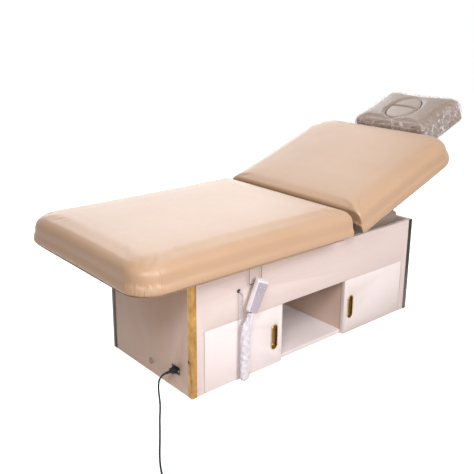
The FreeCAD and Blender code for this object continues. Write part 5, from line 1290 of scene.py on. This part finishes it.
def plywood(name, turned):
    """Birch plywood: stretched grain on the faces, and thin dark glue lines in the edges."""
    made, tree, shader = new_material(name, 0.62)
    where = place_on(tree, (1.5, 12, 12), turned)
    figure = noise(tree, where, 5, 6, 0.6, 1.2)
    plies = add_node(tree, "ShaderNodeTexWave", {"Vector": place_on(tree, (1, 1, 1), turned), "Scale": 78.0},
                     bands_direction="Z").outputs["Fac"]
    wood = blend_colours(tree, figure, (0.62, 0.45, 0.28), (0.50, 0.34, 0.19), 0.3, 0.7)
    layered = mixed(tree, spread_of(tree, plies, 0.0, 0.4), wood, (0.30, 0.19, 0.10))
    join(tree, shader, Base_Color=layered, Normal=bump(tree, figure, 0.0002, 0.6))
    return made


level_plywood = plywood("level_plywood", (0, 0, 0))
raised_plywood = plywood("raised_plywood", (0, BACK_ANGLE, 0))

for node, finish in (("front_panel", front_shade_laminate), ("rear_panel", panel_shade_laminate),
                     ("compartment_dividers", divider_shade_laminate), ("head_end_panel", shaded_laminate),
                     ("foot_end_panel", shaded_laminate), ("compartment_back", inner_shade_laminate),
                     ("compartment_top", inner_shade_laminate), ("cupboard_boards", level_laminate),
                     ("base_panel", level_laminate)):
    eased(node, "cabinet", finish)
for side in ("left", "right"):
    eased(f"door_{side}", f"{side}_door", maple_laminate)
for node in ("skirt_sides", "skirt_ends"):
    eased(node, "lift", skirt_shade_laminate, 0.0009)
for node, body, finish in (("leg_board", "lift", level_plywood), ("back_board", "backrest", raised_plywood),
                           ("headrest_board", "headrest", raised_plywood)):
    eased(node, body, finish)
print("boards done")

# %% [markdown]
# # Metalwork
#
# Polished trims cover the upright corners. The pulls are bronzed cups with a brighter worn rim.
# The lift and the frames are steel with a dark powder coat, whose skin is slightly dimpled like
# orange peel. Rods and pins stay bright, with fine turning marks round them.


# %% Metal finishes
def metal(name, low_colour, high_colour, roughness, scale=60, marks=(1, 1, 1), deep=0.00003):
    made, tree, shader = new_material(name, roughness, 1.0)
    cloud = noise(tree, place_on(tree), scale, 4, 0.6)
    brushed = noise(tree, place_on(tree, marks), 400, 3, 0.6)
    join(tree, shader, Base_Color=blend_colours(tree, cloud, low_colour, high_colour),
         Roughness=spread_of(tree, brushed, roughness - 0.05, roughness + 0.09),
         Normal=bump(tree, brushed, deep, 0.7))
    return made


def powder_coat(name, low_colour, high_colour, roughness=0.5):
    made, tree, shader = new_material(name, roughness, Coat_Weight=0.1, Coat_Roughness=0.35)
    peel = noise(tree, place_on(tree), 420, 2, 0.4)
    cloud = noise(tree, place_on(tree), 14, 4)
    join(tree, shader, Base_Color=blend_colours(tree, cloud, low_colour, high_colour),
         Roughness=spread_of(tree, cloud, roughness - 0.05, roughness + 0.08),
         Normal=bump(tree, peel, 0.00012, 0.7))
    return made


gold_trim = metal("gold_trim", (0.20, 0.10, 0.028), (0.40, 0.235, 0.08), 0.14, 13, (2, 2, 0.05))
# Near-black metal for the far trims: a painted dark reflection on polished trims.
dark_reflection_trim = metal("dark_reflection_trim", (0.030, 0.026, 0.024), (0.060, 0.050, 0.042), 0.2, 9, (2, 2, 0.05))
bronze_pull = metal("bronze_pull", (0.16, 0.10, 0.045), (0.27, 0.17, 0.075), 0.34, 90)
bronze_bright = metal("bronze_bright", (0.72, 0.50, 0.22), (0.80, 0.58, 0.28), 0.2, 200)
bright_steel = metal("bright_steel", (0.56, 0.56, 0.57), (0.64, 0.64, 0.65), 0.22, 80, (1, 1, 8))
hanger_wire = metal("hanger_wire", (0.12, 0.11, 0.11), (0.19, 0.18, 0.18), 0.3, 120)
nickel = metal("nickel", (0.58, 0.56, 0.52), (0.66, 0.64, 0.60), 0.26, 150)
zinc = metal("zinc", (0.48, 0.49, 0.50), (0.58, 0.59, 0.60), 0.36, 160)
frame_steel = powder_coat("frame_steel", (0.045, 0.045, 0.048), (0.06, 0.06, 0.064))
actuator_grey = powder_coat("actuator_grey", (0.20, 0.205, 0.21), (0.24, 0.245, 0.25), 0.42)

trims = eased("corner_trims", "cabinet", gold_trim, 0.0003)
trims.data.materials.append(dark_reflection_trim)
# Only the trim at the near foot corner is gold; the others get near-black metal, a painted dark reflection.
for face in trims.data.polygons:
    face.material_index = 0 if face.center.x < 0 and face.center.y < 0 else 1
refinish(bright_steel, "lift_rods", "back_actuator_rod", "lug_pin", "back_hinge_pins", "inner_columns")
refinish(hanger_wire, "handset_hanger")
refinish(actuator_grey, "lift_actuators", "back_actuator")
refinish(zinc, "column_bolts")
refinish(nickel, "hinge_arms_left", "hinge_arms_right")
refinish(black_plastic, "cord_grommet", "floor_glides")
refinish(frame_steel, "outer_columns", "back_hinge_brackets", "back_frame", "headrest_tubes",
         "headrest_carriage", "headrest_tilt_plates", "actuator_hanger")
eased("bed_rails", "lift", frame_steel, 0.0012)
eased("cross_members", "lift", frame_steel, 0.0012)
eased("hinge_plates", "cabinet", nickel, 0.0003)
eased("column_collars", "cabinet", black_plastic, 0.0008)
eased("control_box", "cabinet", control_plastic, 0.003, segments=4)
eased("mains_inlet", "cabinet", black_plastic, 0.0008, segments=3)
print("metalwork done")

# %% [markdown]
# ## Pulls, screws and small caps
#
# A pull is a pressed cup: dark in the hollow, and rubbed bright on the rim and on the two screws
# that hold it. Screws are one turned shape with a recess. Geometry Nodes set a copy at every
# place, turned to face out of its surface.

# %% Pulls and screws
PULL_X = 0.233
PULL_Z = 0.128
PULL_STRAIGHT = 0.0365
RIM_RADIUS = 0.0171
RIM_STEPS = 96
BEAD_RADIUS = 0.0009
SCREW_RISE = 0.038
PULL_FLOOR = -0.2677
RIM_FACE = -0.2791
# Radius and height
SCREW = [(0.0002, 0.0002), (0.0011, 0.0002), (0.0012, 0.0012), (0.0022, 0.0011), (0.0031, 0.0006),
         (0.0034, -0.0002), (0.0002, -0.0004)]
CAP = [(0.0126, 0.0), (0.0126, 0.0006), (0.0121, 0.0014), (0.0105, 0.0020), (0.007, 0.0024), (0.0002, 0.0026)]
GLAND = [(0.0075, 0), (0.0075, 0.004), (0.006, 0.005), (0.006, 0.009), (0.0045, 0.012), (0.0036, 0.0125),
         (0.0036, 0.006), (0.0002, 0.006)]
screw = helper("screw", lathe("screw", SCREW, 16))
out_front = (0, -1, 0)
for side, sign in (("left", -1), ("right", 1)):
    eased(f"pull_{side}", f"{side}_door", bronze_pull, 0.0004)
    x = sign * PULL_X
    ring = []
    for n in range(RIM_STEPS):
        angle = 2 * math.pi * n / RIM_STEPS
        end = PULL_STRAIGHT if math.sin(angle) > 0 else -PULL_STRAIGHT
        ring.append(Vector((x + RIM_RADIUS * math.cos(angle), RIM_FACE + 0.0003,
                            PULL_Z + end + RIM_RADIUS * math.sin(angle))))
    bead_rings = []
    for n, place in enumerate(ring):
        inwards = Vector((0, 1, 0))
        side_way = (ring[(n + 1) % RIM_STEPS] - ring[n - 1]).normalized().cross(inwards)
        bead_rings.append([place + side_way * a + inwards * b for a, b in circle(BEAD_RADIUS, 8)])
    bead = loft(f"pull_bead_{side}", bead_rings, closed=True)
    piece(f"pull_bead_{side}", bead, f"{side}_door", bronze_bright)
    holes = [(Vector((x, PULL_FLOOR, PULL_Z + rise)), out_front) for rise in (-SCREW_RISE, SCREW_RISE)]
    cup_screws = copies_on(f"pull_screws_{side}", screw, holes, bronze_bright)
    piece(f"pull_screws_{side}", cup_screws, f"{side}_door")

cabinet_screws = [(Vector((-0.6525, INLET_Y + off, INLET_Z)), (-1, 0, 0)) for off in (-0.0195, 0.0195)]
flange_screws = copies_on("inlet_screws", screw, cabinet_screws, zinc)
piece("inlet_screws", flange_screws, "cabinet")
bpy.data.objects.remove(screw)

CAP_PLACE = Vector((-0.650, -0.006, 0.052))
cap_rings = [[(CAP_PLACE.x - h, CAP_PLACE.y + a, CAP_PLACE.z + b) for a, b in circle(r, 48)] for r, h in CAP]
loft_piece("hole_cap_dome", cap_rings, "cabinet", beige_plastic)
refinish(beige_plastic, "hole_cap")
print("pulls and caps done")

# %% [markdown]
# # Face plug
#
# The plug fills the face hole. It is a small cushion in two lobes with a slit to pull it out by.
# Its copy is remeshed finely, and each lobe's rim is rolled over by the distance to the nearest
# edge. The slit bends towards the foot end at its near end, as in the photograph.

# %% Face plug
HOLE_CENTRE = Vector((HEAD_NEAR + 0.146, BED_SHIFT, 0))
HOLE_LONG = 0.1045
HOLE_WIDE = 0.0775
SLIT_X = HOLE_CENTRE.x + 0.014
PLUG_TOP = HINGE.z + 0.134
SLIT_HALF = 0.0025
RIM_ROLL = 0.012
LIP_ROLL = 0.013
LIP_DROP = 0.0085
LIP_OPEN = 0.0022
CROWN = 0.0015
SLIT_BEND = 0.017


def finely(name, node, voxel, rounds):
    """A fine, even copy of a raised CAD pad."""
    return with_modifiers(merged_copy(node, RAISED), name, ("REMESH", {"mode": "VOXEL", "voxel_size": voxel}),
                          ("SMOOTH", {"factor": 0.5, "iterations": rounds}))


def rolled_rims(points):
    u = (points[:, 0] - HOLE_CENTRE.x) / HOLE_LONG
    v = (points[:, 1] - HOLE_CENTRE.y) / HOLE_WIDE
    reach = np.sqrt(u * u + v * v)
    from_edge = np.clip(1 - reach, 0, 1) * HOLE_WIDE
    from_slit = np.clip(np.abs(points[:, 0] - SLIT_X) - SLIT_HALF, 0, 1)
    upper = np.clip((points[:, 2] - PLUG_TOP + 0.020) / 0.020, 0, 1)
    rim = np.clip(from_edge / RIM_ROLL, 0, 1)
    lip = np.clip(from_slit / LIP_ROLL, 0, 1)
    edge_drop = np.where(points[:, 0] > SLIT_X, 0.0024, 0.0045)
    moved = points.copy()
    moved[:, 2] -= edge_drop * (1 - np.sqrt(1 - (1 - rim) ** 2)) * upper
    moved[:, 2] -= LIP_DROP * (1 - np.sqrt(1 - (1 - lip) ** 2)) * upper
    moved[:, 0] += np.sign(points[:, 0] - SLIT_X) * LIP_OPEN * (1 - lip) * upper
    moved[:, 2] += CROWN * np.clip(1 - reach ** 2, 0, 1) * upper
    near = np.clip((HOLE_CENTRE.y - points[:, 1] - 0.012) / 0.05, 0, 1) ** 2
    inner = np.clip(1 - reach ** 2, 0, 1) ** 0.5
    moved[:, 0] -= SLIT_BEND * near * inner * np.exp(-((points[:, 0] - SLIT_X) / 0.035) ** 2)
    return moved


plug_mesh = finely("face_plug_pad", "face_plug", 0.0024, 2)
write_points(plug_mesh, rolled_rims(read_points(plug_mesh)))
shade(plug_mesh)
plug_mesh.transform(RAISED)
face_pad = piece("face_plug_pad", plug_mesh, "plug", plug_cover, ["face_plug"])
print("face plug", len(plug_mesh.polygons), "faces")

# %% [markdown]
# ## Film on the headrest
#
# Clear film wraps the headrest's top and sides and crinkles where it turns the edges. It is a thin
# second skin a few millimetres outside the cover, creased by folded noise, and its opacity is low
# except on the creases, whose milky white is partly the film's own whitening and partly a painted
# highlight. An attribute keeps the top calm and the sides lively.

# %% Headrest film
film_mesh = finely("headrest_film", "headrest_cushion", 0.0045, 4)
film_points, film_normals = read_points(film_mesh), read_normals(film_mesh)
FILM_GAP = 0.0022
CREASE_HEIGHT = 0.0034
FILM_HOLE = 0.006
SWIRL = np.array([[0.81, 0.33, -0.48], [-0.21, 0.93, 0.30], [0.55, -0.14, 0.82]])


def folded(points, scale, seed):
    """Folded noise from a few sums of sines: sharp crests with soft valleys."""
    place, total, weight = points * scale + seed, 0, 1
    for _ in range(4):
        place = place @ SWIRL * 1.9
        wave = np.sin(place[:, 0] + 1.7 * np.sin(place[:, 1]) + np.sin(place[:, 2] * 1.3))
        total = total + weight * (1 - np.abs(wave))
        weight *= 0.55
    return total / 2.0


liveliness = np.clip(1.35 - 1.2 * film_normals[:, 2], 0.10, 1)
creases = folded(film_points, 14, 3.0)
film_out = FILM_GAP + CREASE_HEIGHT * creases * liveliness
write_points(film_mesh, film_points + film_normals * film_out[:, None])


def cut_film(work):
    """Note each point's liveliness, and open the film over the face hole and under the pad."""
    work.verts.ensure_lookup_table()
    lively_layer = work.verts.layers.float.new("liveliness")
    for vert in work.verts:
        vert[lively_layer] = float(liveliness[vert.index])
    gone = []
    for face in work.faces:
        middle = face.calc_center_median()
        u = (middle.x - HOLE_CENTRE.x) / (HOLE_LONG + FILM_HOLE)
        v = (middle.y - HOLE_CENTRE.y) / (HOLE_WIDE + FILM_HOLE)
        if u ** 2 + v ** 2 < 1 or middle.z < PAD_BOTTOM + 0.004:
            gone.append(face)
    bmesh.ops.delete(work, geom=gone, context="FACES")


shade(reworked(film_mesh, cut_film))
wrap, wrap_tree, wrap_shader = new_material("headrest_wrap", 0.14, Specular_IOR_Level=0.8)
place = place_on(wrap_tree)
cracks = noise(wrap_tree, place, 34, 7, 0.72, 1.6)
lively = add_node(wrap_tree, "ShaderNodeAttribute", attribute_name="liveliness").outputs["Fac"]
sharp = add_node(wrap_tree, "ShaderNodeMapRange", {"Value": cracks, "From Min": 0.46, "From Max": 0.66,
                                                   "To Min": 0.08, "To Max": 0.85}).outputs[0]
shown = add_node(wrap_tree, "ShaderNodeMath", {0: sharp, 1: lively}, operation="MULTIPLY").outputs[0]
# Milky white on the creases: partly the film's own whitening, partly a painted highlight.
milky = blend_colours(wrap_tree, noise(wrap_tree, place, 9), (0.84, 0.78, 0.78), (0.96, 0.92, 0.95))
join(wrap_tree, wrap_shader, Alpha=shown, Base_Color=milky,
     Normal=bump(wrap_tree, cracks, 0.0035, 0.8, bump(wrap_tree, noise(wrap_tree, place, 60, 4), 0.0015)))
film_mesh.transform(RAISED)
piece("headrest_film", film_mesh, "headrest", wrap)
print("film", len(film_mesh.polygons), "faces")

# %% [markdown]
# # Under the boards
#
# The cover is pulled round the lower edge and stapled to the underside of each board. A thin band
# follows the board's outline, open at the hinge end where the rails pass, and Geometry Nodes set
# the staples along its middle.

# %% Turned-under covers and staples
BAND_OUT = 0.010
BAND_IN = 0.040
BAND_THICK = 0.0006
STAPLE_IN = 0.024
STAPLE_STEP = 0.038
HEAD_CORNER = 0.046


def board_walk(x_end, x_start, half, corner, inset, steps=12):
    """A U-shaped line inside a board's outline, from one side round the far corners to the other."""
    sign = 1 if x_end > x_start else -1
    radius = corner - inset
    line = [(x_start, -half + inset)]
    angles = [math.radians(90 * step / steps) for step in range(steps + 1)]
    for a in angles:
        line.append((x_end - sign * (corner - radius * math.sin(a)), -half + corner - radius * math.cos(a)))
    for a in angles:
        line.append((x_end - sign * (corner - radius * math.cos(a)), half - corner + radius * math.sin(a)))
    line.append((x_start, half - inset))
    return [(x, y + BED_SHIFT) for x, y in line]


staple_mesh = new_mesh("staple", [
    (x, y, z) for x in (-0.0055, 0.0055) for y in (-0.0004, 0.0004) for z in (-0.0002, 0.0006)],
    [(0, 1, 3, 2), (4, 6, 7, 5), (0, 4, 5, 1), (2, 3, 7, 6), (0, 2, 6, 4), (1, 5, 7, 3)], False)
staple = helper("staple", reworked(staple_mesh, merge_and_turn))


def turned_under(name, place, body, cover, x_end, x_start, half, corner, level):
    outer, inner, middle = [board_walk(x_end, x_start, half, corner, inset)
                            for inset in (BAND_OUT, BAND_IN, STAPLE_IN)]
    under = level - BAND_THICK
    rings = [[(*a, level), (*b, level), (*b, under), (*a, under)] for a, b in zip(outer, inner)]
    band = loft(name, rings, smooth=False)
    band.transform(place)
    piece(name, band, body, cover)
    line = [Vector((x, y, under - 0.0002)) for x, y in middle]
    rows = copies_along(name + "_staples", staple, line, STAPLE_STEP, (0, 0, -1), zinc)
    rows.transform(place)
    piece(name + "_staples", rows, body)


turned_under("leg_cover_underside", LEVEL, "lift", beige_cover, LEG_FOOT, LEG_HEAD - 0.06, LEG_HALF,
             FOOT_CORNER, LEG_BOTTOM - 0.0001)
turned_under("back_cover_underside", RAISED, "backrest", beige_cover, BACK_FAR, BACK_NEAR + 0.06, LEG_HALF,
             BACK_CORNER, PAD_BOTTOM - 0.0001)
turned_under("headrest_cover_underside", RAISED, "headrest", grey_cover, HEAD_FAR, HEAD_NEAR + 0.09,
             HEAD_HALF, HEAD_CORNER, PAD_BOTTOM - 0.0001)
bpy.data.objects.remove(staple)

# %% [markdown]
# ## Control box
#
# The power supply under the bed has louvres in its front and two cable glands.

# %% Louvres and glands
LOUVRE = ((-0.0009, 0), (0.0009, 0), (0.0004, 0.0012), (-0.0004, 0.0012))
LOUVRE_STEP = 0.004
GLAND_STEP = 0.05
LOUVRE_ENDS = ((-0.014, 0.4), (-0.013, 1), (0.013, 1), (0.014, 0.4))
louvre = helper("louvre", loft("louvre", [[(x, y * s, z * s) for y, z in LOUVRE] for x, s in LOUVRE_ENDS]))
BOX_LOW, BOX_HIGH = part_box("control_box")
BOX_LONG = BOX_HIGH.x - BOX_LOW.x
rows = [(Vector((BOX_LOW.x + BOX_LONG * share, BOX_LOW.y, BOX_LOW.z + 0.008 + LOUVRE_STEP * n)), out_front)
        for share in (0.25, 0.5, 0.75) for n in range(9)]
louvres = copies_on("control_box_louvres", louvre, rows, control_plastic)
piece("control_box_louvres", louvres, "cabinet")
bpy.data.objects.remove(louvre)
gland = helper("gland", lathe("gland", GLAND, 20))
gland_places = [(Vector((BOX_LOW.x, BOX_LOW.y + 0.03 + GLAND_STEP * n, BOX_LOW.z + 0.024)), (-1, 0, 0))
                for n in range(2)]
glands = copies_on("control_box_glands", gland, gland_places, black_plastic)
piece("control_box_glands", glands, "cabinet")
bpy.data.objects.remove(gland)

# %% [markdown]
# # Handset
#
# The handset hangs on its wire hanger by a black hook and leans to one side. Its casing is a loft
# of rounded rings, which gives every edge a soft radius. A grey label panel covers the front,
# with four buttons that carry plain raised arrows.

# %% Handset
HANDSET_TOP = Vector((-0.330, -0.308, 0.417))
LEAN = math.radians(25)
DOWN = Vector((-math.sin(LEAN), 0, -math.cos(LEAN)))
ACROSS = Vector((math.cos(LEAN), 0, -math.sin(LEAN)))
OUT = Vector((0, -1, 0))
HANDSET_LENGTH = 0.136
TOP_SLANT = 0.013
SLANT_END = 0.036
TOP_HALF = 0.028
TAPER = 0.005
HALF_DEEP = 0.012
PANEL_HALF = 0.0265
PANEL_HALF_LONG = 0.0590
PANEL_MIDDLE = 0.0745
BUTTON_OFF = 0.0105
BUTTON_DOWN = 0.034
BUTTON_STEP = 0.026
# Distance down the casing, and how far the ring is drawn in there
CASING_STEPS = ((0.0, 0.0030), (0.0006, 0.0014), (0.0018, 0.0004), (0.0034, 0.0), (0.04, 0.0), (0.08, 0.0),
                (0.120, 0.0), (0.1315, 0.0), (0.1338, 0.0006), (0.1352, 0.002), (0.136, 0.0042))


def on_handset(across_by, down_by, out_by):
    return HANDSET_TOP + ACROSS * across_by + DOWN * down_by + OUT * out_by


def half_width(down_by):
    return TOP_HALF - TAPER * down_by / HANDSET_LENGTH


casing_rings = []
for down_by, shrink in CASING_STEPS:
    slant = TOP_SLANT * max(1 - down_by / SLANT_END, 0) / (2 * HALF_DEEP)
    ring = rounded_ring(half_width(down_by) - shrink, HALF_DEEP - shrink, 0.0048 - shrink * 0.4, 6)
    casing_rings.append([on_handset(a, down_by + slant * (b + HALF_DEEP), b) for a, b in ring])
loft_piece("handset_casing", casing_rings, "handset_body", handset_cap_plastic,
           ["handset"])
panel_rings = []
for out_by, shrink in ((0.0116, 0.0), (0.01215, 0.0), (0.01235, 0.0004)):
    ring = []
    for a, d in rounded_ring(PANEL_HALF - shrink, PANEL_HALF_LONG - shrink, 0.005, 6):
        down_by = PANEL_MIDDLE - d
        ring.append(on_handset(a * half_width(down_by) / TOP_HALF, down_by, out_by))
    panel_rings.append(ring)
loft_piece("handset_panel", panel_rings, "handset_body", handset_plastic, smooth=False)
hook_line = [(-0.0105, 0.016), (-0.0185, 0.016), (-0.0203, 0.0165), (-0.0211, 0.0177), (-0.0214, 0.0195),
             (-0.0214, 0.028), (-0.0214, 0.0294)]
hook_frames = []
for n, (out_by, down_by) in enumerate(hook_line):
    before, after = hook_line[max(n - 1, 0)], hook_line[min(n + 1, len(hook_line) - 1)]
    heading = (OUT * (after[0] - before[0]) + DOWN * (after[1] - before[1])).normalized()
    hook_frames.append((on_handset(0, down_by, out_by), heading, ACROSS, heading.cross(ACROSS)))
hook = sweep("handset_hook", hook_frames, [rounded_ring(0.003, 0.0015, 0.0009, 4)] * len(hook_line))
piece("handset_hook", hook, "handset_body", black_plastic)
relief_frames = carried_frames([on_handset(0, 0.1345 + 0.0012 * n, 0) for n in range(10)], ACROSS)
relief_rings = [circle(0.0046 - 0.00016 * n + (0.0004 if n % 2 else 0)) for n in range(10)]
relief = sweep("handset_strain_relief", relief_frames, relief_rings)
piece("handset_strain_relief", relief, "handset_body", black_plastic)


def arrow(name, across_by, down_by, up):
    """A small raised triangle on a button."""
    tip = -0.0028 if up else 0.0028
    outline = [(0, tip), (0.0030, -tip * 0.7), (-0.0030, -tip * 0.7)]
    return loft(name, [[on_handset(across_by + a * s, down_by + d * s, out_by) for a, d in outline]
                       for out_by, s in ((0.0133, 1), (0.01372, 1), (0.01382, 0.85))], smooth=False)


for label, side, row, up in (("bed_up", -1, 0, True), ("bed_down", -1, 1, False), ("back_up", 1, 0, True),
                             ("back_down", 1, 1, False)):
    eased(f"button_{label}", f"{label}_button", button_plastic, 0.0009, segments=3)
    mark = arrow(f"arrow_{label}", side * BUTTON_OFF, BUTTON_DOWN + BUTTON_STEP * row, up)
    piece(f"arrow_{label}", mark, f"{label}_button", handset_cap_plastic)
print("handset done")
